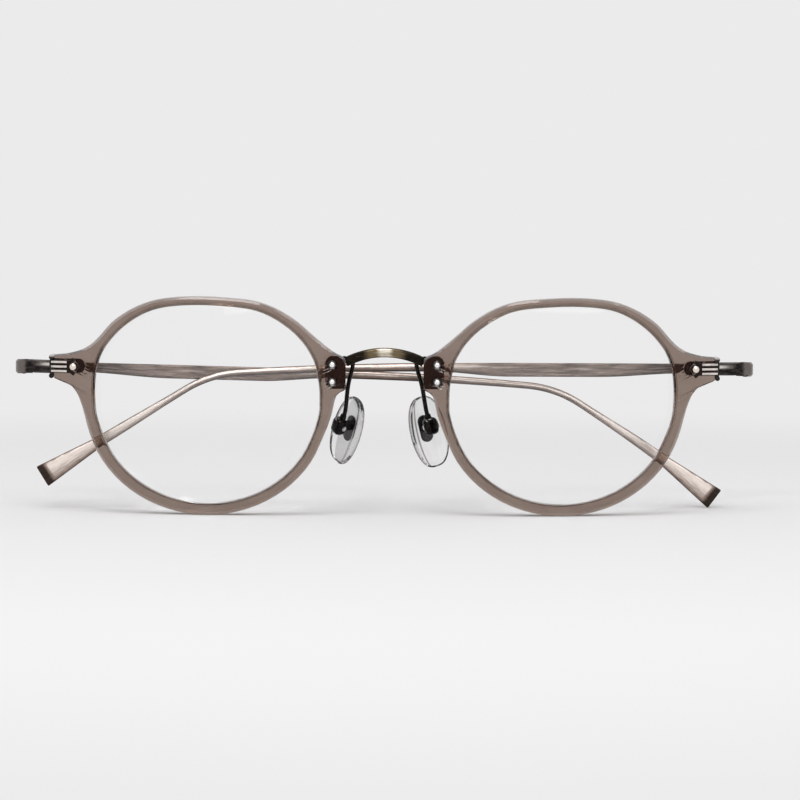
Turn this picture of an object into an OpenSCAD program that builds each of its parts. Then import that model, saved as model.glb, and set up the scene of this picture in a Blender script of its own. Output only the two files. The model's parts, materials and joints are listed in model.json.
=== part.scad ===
// Eyeglasses with translucent rims, a metal bridge and folding metal temples.
// X runs to the viewer's right, Y runs back towards the wearer and Z runs up.
// The temples are folded behind the front, and the front stands on its two rims.

/* [Lenses] */
// Width of the opening in each rim
open_w = 43.4; // [38:0.2:50]
// Height of the opening in each rim
open_h = 38.3; // [34:0.2:44]
// Distance between the openings of the two rims
lens_gap = 24.6; // [22:0.2:30]
// Radius of the lens surfaces, which the rims follow
lens_r = 132; // [110:1:260]
// Outward turn of each lens
wrap = 5; // [2:0.5:8]
// Thickness of a lens
lens_t = 1.8; // [1.2:0.1:2.4]

/* [Rims] */
// Width of the rim seen from the front, at its middle value
rim_w = 2; // [1.6:0.1:3]
// Depth of the rim in front of the middle of the lens
rim_front = 1.9; // [1.6:0.1:2.6]
// Depth of the rim behind the middle of the lens
rim_back = 1.6; // [1.4:0.1:2.4]
// Radius of the rim's rounded front edges
edge_r = 0.55; // [0.2:0.05:0.7]
// Depth of the groove that holds the lens
groove_d = 0.6; // [0.4:0.05:0.8]
// Width of the groove at its mouth
groove_w = 1; // [0.8:0.1:1.2]
// Gap left round a lens and round each seated piece
seat_gap = 0.05; // [0.03:0.01:0.08]

/* [Lugs] */
// Reach of the outer lug beyond the rim
lug_len = 6.5; // [5.5:0.1:9]
// Height of the outer lug at its sawn end
lug_h = 4.2; // [3.8:0.1:5]
// Height of the outer lug above the middle of the lens
lug_up = 7; // [5.5:0.1:8]
// Distance between the two inner lugs
nose_gap = 15; // [13:0.5:18]
// Height of the inner lug above the middle of the lens
nose_up = 6.2; // [5:0.1:7]

/* [Bridge] */
// Height of the bridge strap
strap_h = 1.8; // [1.2:0.1:2.4]
// Depth of the bridge strap
strap_d = 2; // [1.6:0.1:2.6]
// Rise of the arch from its feet to its crown
arch_rise = 1.9; // [1.6:0.1:3.5]
// Thickness of the plates behind the inner lugs
plate_t = 0.75; // [0.5:0.05:1]
// Distance between the two rivets in an inner lug
rivet_pitch = 3.3; // [2.8:0.1:3.8]
// Diameter of the rivet heads
rivet_head = 1.9; // [1.5:0.1:2.2]
// Diameter of the rivet shanks
rivet_d = 1.1; // [0.8:0.05:1.2]

/* [Nose pads] */
// Length of a pad
pad_len = 14.3; // [11:0.5:16]
// Width of a pad
pad_w = 7.7; // [6.6:0.1:9]
// Thickness of a pad
pad_t = 2.8; // [2.4:0.1:3.4]
// Distance of the left pad's screw from the middle of the face
left_pad_x = 8.6; // [8:0.1:10]
// Distance of the right pad's screw from the middle of the face
right_pad_x = 8.9; // [8:0.1:10]
// Distance of the pad screws behind the middle of the lens
pad_y = 5.4; // [4.8:0.1:8]
// Distance of the pad screws below the middle of the lens
pad_down = 4.4; // [2:0.1:7]
// Turn of the left pad towards the side of the nose
left_splay = 52; // [15:1:60]
// Turn of the right pad towards the side of the nose
right_splay = 24; // [15:1:60]
// Lean of the left pad, with its top towards the middle
left_pad_lean = 27; // [0:1:30]
// Lean of the right pad, with its top towards the middle
right_pad_lean = 15; // [0:1:30]
// Diameter of the wire of a pad arm
arm_d = 0.85; // [0.7:0.05:1.1]
// Diameter of a pad screw
pad_screw_d = 1; // [0.8:0.05:1.1]

/* [Endpieces] */
// Reach of the metal endpiece beyond the outer lug
end_reach = 8.3; // [7:0.1:10]
// Depth from the outer lug back to the hinge
end_depth = 5.2; // [5:0.1:8]
// Thickness of the endpiece strip
strip_t = 1.1; // [0.9:0.05:1.4]
// Height of the endpiece strip
strip_h = 2.8; // [2.6:0.1:3.4]

/* [Hinges] */
// Height of a hinge, over its three knuckles
hinge_h = 2.6; // [2.2:0.1:2.6]
// Radius of the knuckles
knuckle_r = 1.05; // [1:0.05:1.3]
// Diameter of the hinge screws
hinge_screw_d = 1.2; // [1:0.05:1.3]
// Radial gap between a screw and the knuckle that turns on it
run_gap = 0.05; // [0.02:0.01:0.08]

/* [Temples] */
// Length of a temple from its hinge to its tip, along the curve
temple_len = 143.1; // [130:1:155]
// Length from the hinge to the bend behind the ear
ear_at = 99; // [90:1:108]
// Bend behind the ear
ear_drop = 28; // [18:0.5:36]
// Further bend of the left tip
left_set = 4; // [0:0.5:8]
// Further bend of the right tip
right_set = 0; // [0:0.5:8]
// Downward slope of the folded left temple
left_slope = 1.5; // [-1:0.1:2.4]
// Downward slope of the folded right temple
right_slope = 0; // [-1:0.1:2.4]
// Lean of the folded left temple away from the front, which clears the right one
left_lean = 2.6; // [2.4:0.1:4]
// Inward curl of the last part of a temple
tip_curl = 5; // [0:1:14]
// Thickness of the flat part of a temple
temple_t = 1; // [0.8:0.05:1.2]
// Size of every height along a temple, as a share of its usual value
temple_size = 1; // [0.85:0.05:1.1]

/* [Hidden] */
$fn = 32;
// Reach of a cut past what it cuts
cut_room = 12;
left = -1;
right = 1;

// Places of the lens and of the sphere that it lies on
eye_x = (open_w + lens_gap) / 2;
half_w = open_w / 2;
half_h = open_h / 2;
foot_share = 1.15;
eye_z = half_h + foot_share * rim_w;
ball_x = eye_x - lens_r * sin(wrap);
ball_y = lens_r * cos(wrap);
function lens_y(x, z) =
    ball_y - sqrt(lens_r * lens_r - pow(x - ball_x, 2) - pow(z - eye_z, 2));

// Outer lug, its turn with the curve of the front, and the seats cut into it
lug_u = half_w + rim_w + lug_len;
lug_x = eye_x + lug_u;
lug_z = eye_z + lug_up;
lug_y = lens_y(lug_x, lug_z);
lug_turn = asin((lug_x - ball_x) / lens_r);
inlay = 0.15;
lug_face = inlay - rim_front * cos(lug_turn);
lug_rear = rim_back * cos(lug_turn) - inlay;
end_rivet_in = 4.7;

// Inner lug and the flat seat behind it
nose_u = nose_gap / 2 - eye_x;
nose_z = eye_z + nose_up;
rivet_in = 2.6;
rivet_x = nose_gap / 2 + rivet_in;
nose_rear = lens_y(rivet_x, nose_z) + rim_back - inlay;
nose_face = lens_y(rivet_x, nose_z) - rim_front + inlay;

// Hinge and temple
outer_x = lug_x + end_reach;
strip_gap = 0.15;
hinge_x = outer_x - strip_t - strip_gap - knuckle_r;
hinge_y = lug_y + end_depth;
hinge_drop = 0.4;
hinge_z = lug_z - hinge_drop;
butt_gap = 0.12;
knuckle_gap = 0.05;
mid_knuckle = 0.35 * hinge_h;
leaf_t = 0.5;
leaf_len = 3.4;
leaf_from = knuckle_r + 0.12;
temple_back = knuckle_r + strip_gap + temple_t / 2;
rod_t = 1.45;

// Shift that puts the middle of the depth at zero
dome_h = 0.65;
bend_len = 11;
front_y = nose_face - seat_gap - dome_h;
rear_y = hinge_y + temple_back + (ear_at + bend_len / 2) * sin(left_lean) + rod_t / 2;
mid_y = (front_y + rear_y) / 2;

// Point at t between p1 and p2 on a smooth curve that passes through all four
function smooth_point(p0, p1, p2, p3, t) =
    0.5 * (2 * p1 + (p2 - p0) * t + (2 * p0 - 5 * p1 + 4 * p2 - p3) * t * t
    + (3 * p1 - p0 - 3 * p2 + p3) * t * t * t);

// Closed smooth curve through points, with so many steps from each to the next
function closed_curve(points, steps) = let (n = len(points)) [
    for (i = [0:n - 1], k = [0:steps - 1])
        smooth_point(points[(i + n - 1) % n], points[i], points[(i + 1) % n],
            points[(i + 2) % n], k / steps)
];

// Open smooth curve through points
function open_curve(points, steps) = let (n = len(points)) concat([
    for (i = [0:n - 2], k = [0:steps - 1])
        smooth_point(points[max(i - 1, 0)], points[i], points[i + 1],
            points[min(i + 2, n - 1)], k / steps)
], [points[n - 1]]);

// Value at x in a table of [x, value] rows, eased from each row to the next
function table(rows, x, i = 0) =
    x <= rows[0][0] ? rows[0][1]
    : i == len(rows) - 1 ? rows[i][1]
    : x > rows[i + 1][0] ? table(rows, x, i + 1)
    : let (t = (x - rows[i][0]) / (rows[i + 1][0] - rows[i][0]))
        rows[i][1] + (rows[i + 1][1] - rows[i][1]) * t * t * (3 - 2 * t);

// Outward direction at point i of a closed curve that runs clockwise
function outward(curve, i) = let (
    n = len(curve),
    d = curve[(i + 1) % n] - curve[(i + n - 1) % n]
) [-d[1], d[0]] / norm(d);

// Faces of a skin over rings of m points: closed on itself, or capped at both ends
function skin(n, m, last) = [
    for (i = [0:last], j = [0:m - 1]) let (
        a = i * m + j,
        b = i * m + (j + 1) % m,
        c = ((i + 1) % n) * m + (j + 1) % m,
        d = ((i + 1) % n) * m + j
    ) each [[a, b, c], [a, c, d]]
];
function flat(rings) = [for (ring = rings) each ring];
module loop_solid(rings) {
    polyhedron(flat(rings), skin(len(rings), len(rings[0]), len(rings) - 1));
}
module capped_solid(rings) {
    n = len(rings);
    m = len(rings[0]);
    start = [for (j = [m - 1:-1:0]) j];
    end = [for (j = [0:m - 1]) (n - 1) * m + j];
    polyhedron(flat(rings), concat(skin(n, m, n - 2), [start, end]));
}

// Right side as drawn, left side mirrored
module on_side(side) {
    translate([0, -mid_y, 0]) mirror([side < 0 ? 1 : 0, 0, 0]) children();
}

// Solid of a flat outline of [x, z] points, standing between two depths
module slab(from_y, to_y) {
    translate([0, to_y, 0]) rotate([90, 0, 0]) linear_extrude(to_y - from_y) children();
}

// Cylinder that lies along Y
module rod(r, from_y, to_y) {
    translate([0, to_y, 0]) rotate([90, 0, 0]) cylinder(r = r, h = to_y - from_y);
}

// Rows run from the nose over the top and back below. Each holds a point of the opening, in
// shares of its half width and half height, and then the rim's width there as a share of
// rim_w, or the lug's outer corner, measured from the middle of the lens.
rim_rows = concat([
    [-0.985, -0.08, 1.22],
    [-0.99, 0.03, [nose_u + 1.8, nose_up - 4.4]],
    [-0.99, 0.115, [nose_u - 0.1, nose_up - 3]],
    [-0.985, 0.205, [nose_u - 0.6, nose_up - 0.9]],
    [-0.97, 0.3, [nose_u - 0.6, nose_up + 1.1]],
    [-0.95, 0.41, [nose_u + 0.2, nose_up + 2.9]],
    [-0.91, 0.51, [nose_u + 2.7, nose_up + 4.25]],
    [-0.84, 0.63, 1.17],
    [-0.72, 0.765, 1.02],
    [-0.55, 0.89, 0.93],
    [-0.375, 0.96, 0.87],
    [-0.13, 0.99, 0.84],
    [0.1, 1, 0.84],
    [0.33, 0.985, 0.86],
    [0.5, 0.945, 0.9],
    [0.655, 0.86, 1],
    [0.8, 0.735, 1.1],
    [0.915, 0.585, 1.12],
    [0.972, 0.466, [lug_u - 6, lug_up + 3.6]],
    [1, 0.357, [lug_u - 2.7, lug_up + lug_h / 2 + 0.45]],
    [1.012, 0.275, [lug_u + 0.8, lug_up + lug_h / 2 - 0.1]],
    [1.018, 0.197, [lug_u + 1.2, lug_up]],
    [1.02, 0.119, [lug_u + 0.8, lug_up - lug_h / 2 + 0.15]],
    [1.018, 0.04, [lug_u - 2.3, lug_up - lug_h / 2 - 0.9]],
    [1.013, -0.04, [lug_u - 4.2, lug_up - 4.65]],
    [1, -0.135, [lug_u - 5.5, lug_up - 7.6]]
], [
    for (a = [16:14.8:164]) [0.985 * cos(a) + 0.012, -sin(a), foot_share + 0.1 * cos(a)]
]);
rim_steps = 3;
row_points = [for (row = rim_rows) [row[0] * half_w, row[1] * half_h]];
opening = closed_curve(row_points, rim_steps);
rim_outer = closed_curve([
    for (i = [0:len(rim_rows) - 1]) let (row = rim_rows[i])
        is_list(row[2]) ? row[2] : row_points[i] + outward(row_points, i) * row[2] * rim_w
], rim_steps);

// Outline of the opening moved outward by so much, in the frame's X and Z
function opening_plus(extra) = [
    for (i = [0:len(opening) - 1])
        let (p = opening[i] + outward(opening, i) * extra) [eye_x + p[0], eye_z + p[1]]
];

// Section of the rim at station i, round from the inner wall over the front to the groove
back_r = 0.3;
round_in = 0.293;
groove_floor = 0.7;
function rim_ring(i) = let (
    p = opening[i],
    q = rim_outer[i],
    n = outward(opening, i),
    e = (q - p) / norm(q - p),
    r = edge_r,
    b = back_r,
    mouth = groove_w / 2,
    floor = groove_floor * groove_w / 2
) [
    for (s = [
        [p, r - rim_front], [p + n * round_in * r, round_in * r - rim_front],
        [p + n * r, -rim_front], [q - e * r, -rim_front],
        [q - e * round_in * r, round_in * r - rim_front], [q, r - rim_front],
        [q, rim_back - b], [q - e * b, rim_back], [p + n * b, rim_back], [p, rim_back - b],
        [p, mouth], [p + n * groove_d, floor], [p + n * groove_d, -floor], [p, -mouth]
    ]) let (x = eye_x + s[0][0], z = eye_z + s[0][1]) [x, lens_y(x, z) + s[1], z]
];

// Frame of the outer lug, with its sawn end at zero
module at_lug() {
    translate([lug_x, lug_y, lug_z]) rotate([0, 0, lug_turn]) children();
}

// Everything past the lug's sawn end
module past_lug() {
    translate([lug_x, lug_y - cut_room, lug_z - cut_room])
        cube([cut_room, 2 * cut_room, 2 * cut_room]);
}

// Outline of the inlaid shield: a lozenge round the rivet and a bar to the lug's end
shield_w = 2.7;
shield_h = 3.5;
bar_h = 2.5;
module shield_outline(extra) {
    polygon([
        [-end_rivet_in - shield_w / 2 - extra, 0],
        [-end_rivet_in, shield_h / 2 + extra],
        [-end_rivet_in + 0.7, bar_h / 2 + extra],
        [0, bar_h / 2 + extra],
        [0, -bar_h / 2 - extra],
        [-end_rivet_in + 0.7, -bar_h / 2 - extra],
        [-end_rivet_in, -shield_h / 2 - extra]
    ]);
}

// Outline of the endpiece's tongue behind the lug, which runs on into the cap
tongue_h = 2.8;
tongue_on = 0.9;
module tongue_outline(extra) {
    translate([-end_rivet_in, 0]) circle(r = tongue_h / 2 + extra);
    translate([-end_rivet_in, -tongue_h / 2 - extra])
        square([end_rivet_in + tongue_on, tongue_h + 2 * extra]);
}

// Outline of the bridge plate behind the inner lug, about its two rivets
plate_r = 1.5;
module plate_outline(extra) {
    for (end = [-1, 1])
        translate([rivet_x, nose_z + end * rivet_pitch / 2]) circle(r = plate_r + extra);
    translate([nose_gap / 2 - extra, nose_z - rivet_pitch / 2 - plate_r - extra])
        square([rivet_in + extra, rivet_pitch + 2 * (plate_r + extra)]);
    translate([rivet_x, nose_z - rivet_pitch / 2]) square([plate_r + extra, rivet_pitch]);
}

module each_bridge_rivet() {
    for (end = [-1, 1])
        translate([rivet_x, 0, nose_z + end * rivet_pitch / 2]) children();
}

module rim(side) {
    color("dimgray") on_side(side) difference() {
        loop_solid([for (i = [0:len(opening) - 1]) rim_ring(i)]);
        // Ends of the two lugs, sawn square
        past_lug();
        translate([nose_gap / 2 - cut_room, -cut_room, nose_z - cut_room])
            cube([cut_room, 2 * cut_room, 2 * cut_room]);
        // Seats for the shield, the tongue and the bridge plate
        at_lug() slab(lug_face - cut_room, lug_face) shield_outline(seat_gap);
        at_lug() slab(lug_rear, lug_rear + cut_room) tongue_outline(seat_gap);
        slab(nose_rear, nose_rear + cut_room) plate_outline(seat_gap);
        // Rivet holes
        at_lug() translate([-end_rivet_in, 0, 0]) rod(rivet_d / 2 + seat_gap, -cut_room, cut_room);
        each_bridge_rivet() rod(rivet_d / 2 + seat_gap, -cut_room, cut_room);
        each_bridge_rivet() rod(rivet_head / 2 + seat_gap, nose_face - cut_room, nose_face);
    }
}

// Plate between two of the lens's spheres, cut to the opening grown by extra
module lens_plate(thick, extra) {
    intersection() {
        translate([ball_x, ball_y, eye_z]) difference() {
            sphere(r = lens_r + thick / 2, $fn = 240);
            sphere(r = lens_r - thick / 2, $fn = 240);
        }
        slab(-cut_room, cut_room) polygon(opening_plus(extra));
    }
}

module lens(side) {
    ridge = groove_floor * groove_w - 4 * seat_gap;
    color([0.85, 0.9, 0.92, 0.4]) on_side(side) union() {
        lens_plate(lens_t, -seat_gap);
        lens_plate(ridge, groove_d - 2 * seat_gap);
    }
}

// Bridge: an arched strap on two feet, which end in the plates behind the lugs
foot_z = nose_z + rivet_pitch / 2 + 0.35;
foot_x = nose_gap / 2 + 0.1;
arch_r = (foot_x * foot_x + arch_rise * arch_rise) / (2 * arch_rise);
arch_z = foot_z + arch_rise - arch_r;
arch_half = asin(foot_x / arch_r);
plate_front = nose_rear + seat_gap;
strap_back = plate_front + plate_t;
strap_round = 0.35;
module strap_section() {
    hull() for (a = [-1, 1], b = [-1, 1])
        translate([arch_r + a * (strap_h / 2 - strap_round), b * (strap_d / 2 - strap_round)])
            circle(r = strap_round, $fn = 24);
}

module bridge() {
    color("darkkhaki") translate([0, -mid_y, 0]) difference() {
        union() {
            translate([0, strap_back - strap_d / 2, arch_z]) rotate([90, 0, 0])
                rotate([0, 0, 90 - arch_half]) rotate_extrude(angle = 2 * arch_half, $fn = 160)
                    strap_section();
            for (side = [left, right]) mirror([side < 0 ? 1 : 0, 0, 0])
                slab(plate_front, strap_back) plate_outline(0);
        }
        for (side = [left, right]) mirror([side < 0 ? 1 : 0, 0, 0]) {
            each_bridge_rivet() rod(rivet_d / 2 + seat_gap, -cut_room, cut_room);
            // The strap stops short of the lug that stands before the plate
            translate([nose_gap / 2, plate_front - cut_room, nose_z - cut_room] - seat_gap * [1, 1, 0])
                cube([cut_room, cut_room, 2 * cut_room]);
        }
    }
}

// Rivet along Y: a domed head at the front, a shank and a low closed head at the back
closed_h = 0.25;
module rivet(head_d, head_h, from_y, to_y) {
    dome_r = (head_d * head_d / 4 + head_h * head_h) / (2 * head_h);
    intersection() {
        translate([0, from_y - head_h + dome_r, 0]) sphere(r = dome_r, $fn = 48);
        rod(head_d / 2, from_y - head_h, from_y);
    }
    rod(rivet_d / 2, from_y, to_y + seat_gap);
    rod(rivet_d / 2 + 0.3, to_y + seat_gap, to_y + seat_gap + closed_h);
}

module bridge_rivets(side) {
    color("silver") on_side(side) each_bridge_rivet()
        rivet(rivet_head, dome_h, nose_face - seat_gap, strap_back);
}

// Nose pad frame: its origin lies on the pad screw, X along the screw away from the nose
// and Y through the pad towards the nose
pad_z = eye_z - pad_down;
function splay(side) = side < 0 ? left_splay : right_splay;
function pad_lean(side) = side < 0 ? left_pad_lean : right_pad_lean;
function pad_x(side) = side < 0 ? left_pad_x : right_pad_x;
module at_pad(side) {
    on_side(side) translate([pad_x(side), pad_y, pad_z]) rotate([0, 0, splay(side)])
        rotate([0, -pad_lean(side), 0]) children();
}

box_w = 2.8;
box_h = 3.4;
box_wall = 0.5;
box_edge = 0.5;
post_gap = 0.15;
post_w = box_w - 2 * box_wall - 2 * post_gap;
post_r = 0.85;
box_back = post_r + post_gap + box_wall;
box_mouth = 0.9;
collar_h = 0.8;
rock_gap = 0.65;
pad_front = box_mouth + rock_gap;
pad_out = 0.5;
pad_low = 1.5;
pad_off = [pad_out, pad_front + pad_t / 2, -pad_low];
plate_in = 0.9;
insert_t = 0.5;

module pad_box(side) {
    inner_w = box_w - 2 * box_wall;
    color("black") at_pad(side) difference() {
        union() {
            // Body with its upper and lower front edges rounded
            translate([-box_w / 2, box_edge - box_back, -box_h / 2])
                cube([box_w, box_back + box_mouth - box_edge, box_h]);
            translate([-box_w / 2, -box_back, box_edge - box_h / 2])
                cube([box_w, box_back, box_h - 2 * box_edge]);
            for (end = [-1, 1])
                translate([-box_w / 2, box_edge - box_back, end * (box_h / 2 - box_edge)])
                    rotate([0, 90, 0]) cylinder(r = box_edge, h = box_w);
            // Collar where the arm enters
            translate([0, 0, box_h / 2 - 0.1]) cylinder(r = arm_d / 2 + 0.25, h = collar_h);
        }
        // Pocket that the post stands in, open towards the pad
        translate([-inner_w / 2, box_wall - box_back, -box_h / 2 + box_wall])
            cube([inner_w, 2 * box_back, box_h - 2 * box_wall]);
        translate([-box_w, 0, 0]) rotate([0, 90, 0])
            cylinder(r = pad_screw_d / 2 + seat_gap, h = 2 * box_w);
        // Socket for the arm
        translate([0, 0, box_h / 2 - 0.1]) cylinder(r = arm_d / 2 + seat_gap, h = 2);
    }
}

screw_head_d = 1.9;
screw_head_h = 0.8;
module pad_screw(side) {
    color("dimgray") at_pad(side) {
        translate([-box_w / 2, 0, 0]) rotate([0, 90, 0])
            cylinder(r = pad_screw_d / 2, h = box_w + seat_gap);
        translate([box_w / 2 + seat_gap, 0, 0]) rotate([0, 90, 0])
            intersection() {
                cylinder(r = screw_head_d / 2, h = screw_head_h);
                translate([0, 0, screw_head_h - 1]) sphere(r = 1);
            }
    }
}

insert_w = 2.6;
insert_len = 5.4;
insert_down = 0.7;
module insert_outline(extra) {
    translate([0, -insert_down]) {
        for (end = [-1, 1])
            translate([0, end * (insert_len - insert_w) / 2]) circle(r = insert_w / 2 + extra);
        translate([-insert_w / 2 - extra, -(insert_len - insert_w) / 2])
            square([insert_w + 2 * extra, insert_len - insert_w]);
    }
}

module pad_insert(side) {
    plate_y = pad_front + plate_in;
    color("gray") at_pad(side) difference() {
        union() {
            slab(plate_y, plate_y + insert_t) insert_outline(0);
            translate([-post_w / 2, 0, -post_r * 0.8]) cube([post_w, plate_y, 1.6 * post_r]);
            translate([-post_w / 2, 0, 0]) rotate([0, 90, 0]) cylinder(r = post_r, h = post_w);
        }
        translate([-box_w, 0, 0]) rotate([0, 90, 0])
            cylinder(r = pad_screw_d / 2 + run_gap, h = 2 * box_w);
    }
}

// Ring k of a pad, an oval that fills out quickly from each end
pad_rings = 18;
pad_sides = 20;
function pad_ring(k) = let (
    along = 180 * (k + 0.4) / (pad_rings + 0.8),
    wide = pow(sin(along), 0.75)
) [
    for (j = [0:pad_sides - 1]) let (
        a = -360 * j / pad_sides,
        fat = sin(a) > 0 ? 0.62 : 0.38
    ) pad_off + [
        cos(a) * wide * pad_w / 2,
        pad_t * (fat * sin(a) * wide - 0.12),
        -cos(along) * pad_len / 2
    ]
];

module nose_pad(side) {
    plate_y = pad_front + plate_in;
    color([0.9, 0.92, 0.92, 0.5]) at_pad(side) difference() {
        capped_solid([for (k = [0:pad_rings]) pad_ring(k)]);
        slab(plate_y - seat_gap, plate_y + insert_t + seat_gap) insert_outline(seat_gap);
        translate([-post_w / 2 - seat_gap, 0, -post_r * 0.8 - seat_gap])
            cube([post_w + 2 * seat_gap, plate_y, 1.6 * post_r + 2 * seat_gap]);
    }
}

// Pad arm: a bent wire from behind the bridge's foot down into the collar of the pad box
arm_sides = 8;
arm_in = 1.5;
arm_up = 0.3;
arm_drop = 1.6;
arm_bow = 0.2;
arm_last = 1.9;
function arm_end(side) = let (
    up = box_h / 2 + 0.1,
    a = splay(side),
    lean = pad_lean(side)
) [pad_x(side), pad_y, pad_z] + up * [-sin(lean) * cos(a), -sin(lean) * sin(a), cos(lean)];
function arm_points(side) = let (
    e = arm_end(side),
    lean = pad_lean(side),
    top = [foot_x - arm_in, strap_back + arm_d / 2 + seat_gap, foot_z + arm_up]
) [
    top,
    top + [arm_bow, arm_bow, -arm_drop],
    top + (e - top) * 0.45 + [arm_bow / 2, arm_bow, 0],
    e + arm_last * [-sin(lean) * cos(splay(side)), -sin(lean) * sin(splay(side)), cos(lean)],
    e
];
module pad_arm(side) {
    path = open_curve(arm_points(side), 6);
    n = len(path);
    color("black") on_side(side) capped_solid([
        for (i = [0:n - 1]) let (
            d = path[min(i + 1, n - 1)] - path[max(i - 1, 0)],
            w = d / norm(d),
            u = cross([0, 1, 0], w) / norm(cross([0, 1, 0], w)),
            v = cross(w, u)
        ) [
            for (j = [0:arm_sides - 1])
                path[i] + arm_d / 2 * (u * cos(360 * j / arm_sides) + v * sin(360 * j / arm_sides))
        ]
    ]);
}

// Endpiece: a cap over the lug's sawn end, a tongue behind it, and a strip that narrows to a
// neck, then widens and turns back to the hinge
cap_t = 0.85;
cap_h = lug_h + 0.4;
cap_over = 0.4;
knob_r = 0.48;
neck_h = 2.1;
strip_steps = 18;
function bezier(p, t) =
    pow(1 - t, 3) * p[0] + 3 * pow(1 - t, 2) * t * p[1] + 3 * (1 - t) * t * t * p[2]
    + pow(t, 3) * p[3];
strip_start = [lug_x + 0.7 * cos(lug_turn), lug_y + 0.7 * sin(lug_turn)];
strip_end = [outer_x - strip_t / 2, hinge_y - butt_gap];
strip_path = [
    strip_start,
    strip_start + 0.75 * (strip_end[0] - strip_start[0]) * [cos(lug_turn), sin(lug_turn)],
    strip_end - [0, 0.8 * (strip_end[1] - strip_start[1])],
    strip_end
];
// Ring k of the strip, grown by extra all round and further on its outer side
function strip_ring(k, extra, outside = 0) = let (
    t = k / strip_steps,
    step = 0.01,
    c = bezier(strip_path, t),
    d = bezier(strip_path, min(t + step, 1)) - bezier(strip_path, max(t - step, 0)),
    n = [-d[1], d[0]] / norm(d),
    h = table([[0.1, neck_h], [0.5, strip_h]], t) / 2,
    z = lug_z + (hinge_z - lug_z) * t,
    cut = 0.3
) [
    for (s = [
        [-0.5, cut - 1], [-0.5, 1 - cut], [cut - 0.5, 1], [0.5 - cut, 1],
        [0.5, 1 - cut], [0.5, cut - 1], [0.5 - cut, -1], [cut - 0.5, -1]
    ]) let (
        side_off = s[0] * (strip_t + 2 * extra) - (s[0] < 0 ? outside : 0),
        up = s[1] * (h + extra)
    ) [c[0] + n[0] * side_off, c[1] + n[1] * side_off, z + up]
];

module endpiece(side) {
    tongue_front = lug_rear + seat_gap;
    tongue_t = 0.7;
    cap_front = lug_y - rim_front - cap_over;
    cap_back = lug_y + rim_back + cap_over;
    color("dimgray") on_side(side) difference() {
        union() {
            at_lug() slab(tongue_front, tongue_front + tongue_t) tongue_outline(0);
            translate([lug_x + seat_gap, cap_front + 0.2, lug_z - cap_h / 2 + knob_r])
                cube([cap_t - seat_gap, cap_back - cap_front - 0.2, cap_h - 2 * knob_r]);
            for (end = [-1, 1])
                translate([lug_x + seat_gap + knob_r, 0, lug_z + end * (cap_h / 2 - knob_r)])
                    rod(knob_r, cap_front, cap_back);
            capped_solid([for (k = [0:strip_steps]) strip_ring(k, 0)]);
        }
        at_lug() translate([-end_rivet_in, 0, 0]) rod(rivet_d / 2 + seat_gap, -cut_room, cut_room);
    }
}

// Shield on the front of the lug: a lozenge round the rivet and three ribs to the cap
shield_t = 0.4;
rib_t = 0.3;
rib_h = 0.42;
rib_pitch = 0.88;
module endpiece_shield(side) {
    shield_back = lug_face - seat_gap;
    color("silver") on_side(side) difference() {
        at_lug() {
            slab(shield_back - shield_t, shield_back) shield_outline(0);
            for (k = [-1:1]) translate([0, 0, k * rib_pitch])
                slab(shield_back - shield_t - rib_t, shield_back - shield_t)
                    translate([-end_rivet_in + 1.2, -rib_h / 2]) square([end_rivet_in - 1.2, rib_h]);
        }
        at_lug() translate([-end_rivet_in, 0, 0]) rod(rivet_d / 2 + seat_gap, -cut_room, cut_room);
        past_lug();
    }
}

module endpiece_rivet(side) {
    head_d = 1.6;
    color("silver") on_side(side) at_lug() translate([-end_rivet_in, 0, 0])
        rivet(head_d, 0.6, lug_face - 2 * seat_gap - shield_t, lug_rear + seat_gap + 0.7);
}

// Hinge frame: its origin is the middle of the hinge, and Z is the axis of the screw
function slope(side) = side < 0 ? left_slope : right_slope;
module at_hinge(side) {
    on_side(side) translate([hinge_x, hinge_y, hinge_z]) rotate([0, -slope(side), 0]) children();
}
module knuckle(low, high) {
    translate([0, 0, low]) cylinder(r = knuckle_r, h = high - low);
}
mid_half = mid_knuckle / 2;
head_r = hinge_screw_d / 2 + 0.22;
head_deep = 0.35;
leaf_gap = 0.08;

// Block that fills the inner corner of the endpiece strip, with two knuckles
block_t = 1;
block_len = 2.3;
module front_hinge(side) {
    out = knuckle_r + strip_gap - leaf_gap;
    color("dimgray") difference() {
        at_hinge(side) difference() {
            union() {
                for (low = [-hinge_h / 2, mid_half + knuckle_gap]) {
                    high = low + hinge_h / 2 - mid_half - knuckle_gap;
                    knuckle(low, high);
                    translate([0, -leaf_from - 0.2, low]) cube([out, leaf_from + 0.2, high - low]);
                }
                translate([out - block_t, -leaf_from - block_len, -hinge_h / 2])
                    cube([block_t, block_len, hinge_h]);
            }
            translate([0, 0, -hinge_h])
                cylinder(r = hinge_screw_d / 2 + run_gap, h = 2 * hinge_h);
            translate([0, 0, hinge_h / 2 - head_deep]) cylinder(r = head_r + run_gap, h = 1);
        }
        on_side(side) capped_solid([for (k = [0:strip_steps]) strip_ring(k, seat_gap, 2)]);
    }
}

module hinge_screw(side) {
    slot_w = 0.3;
    color("silver") at_hinge(side) difference() {
        union() {
            translate([0, 0, -hinge_h / 2])
                cylinder(r = hinge_screw_d / 2, h = hinge_h - head_deep + run_gap);
            translate([0, 0, hinge_h / 2 - head_deep + run_gap])
                cylinder(r = head_r, h = head_deep - run_gap);
        }
        translate([-head_r - 1, -slot_w / 2, hinge_h / 2 - 0.15]) cube([2 * head_r + 2, slot_w, 1]);
    }
}

// Frame of a folded temple: it runs along -X from its hinge, behind the hinge's axis
module at_temple(side) {
    at_hinge(side) rotate([0, 0, side < 0 ? -left_lean : 0]) children();
}

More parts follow.
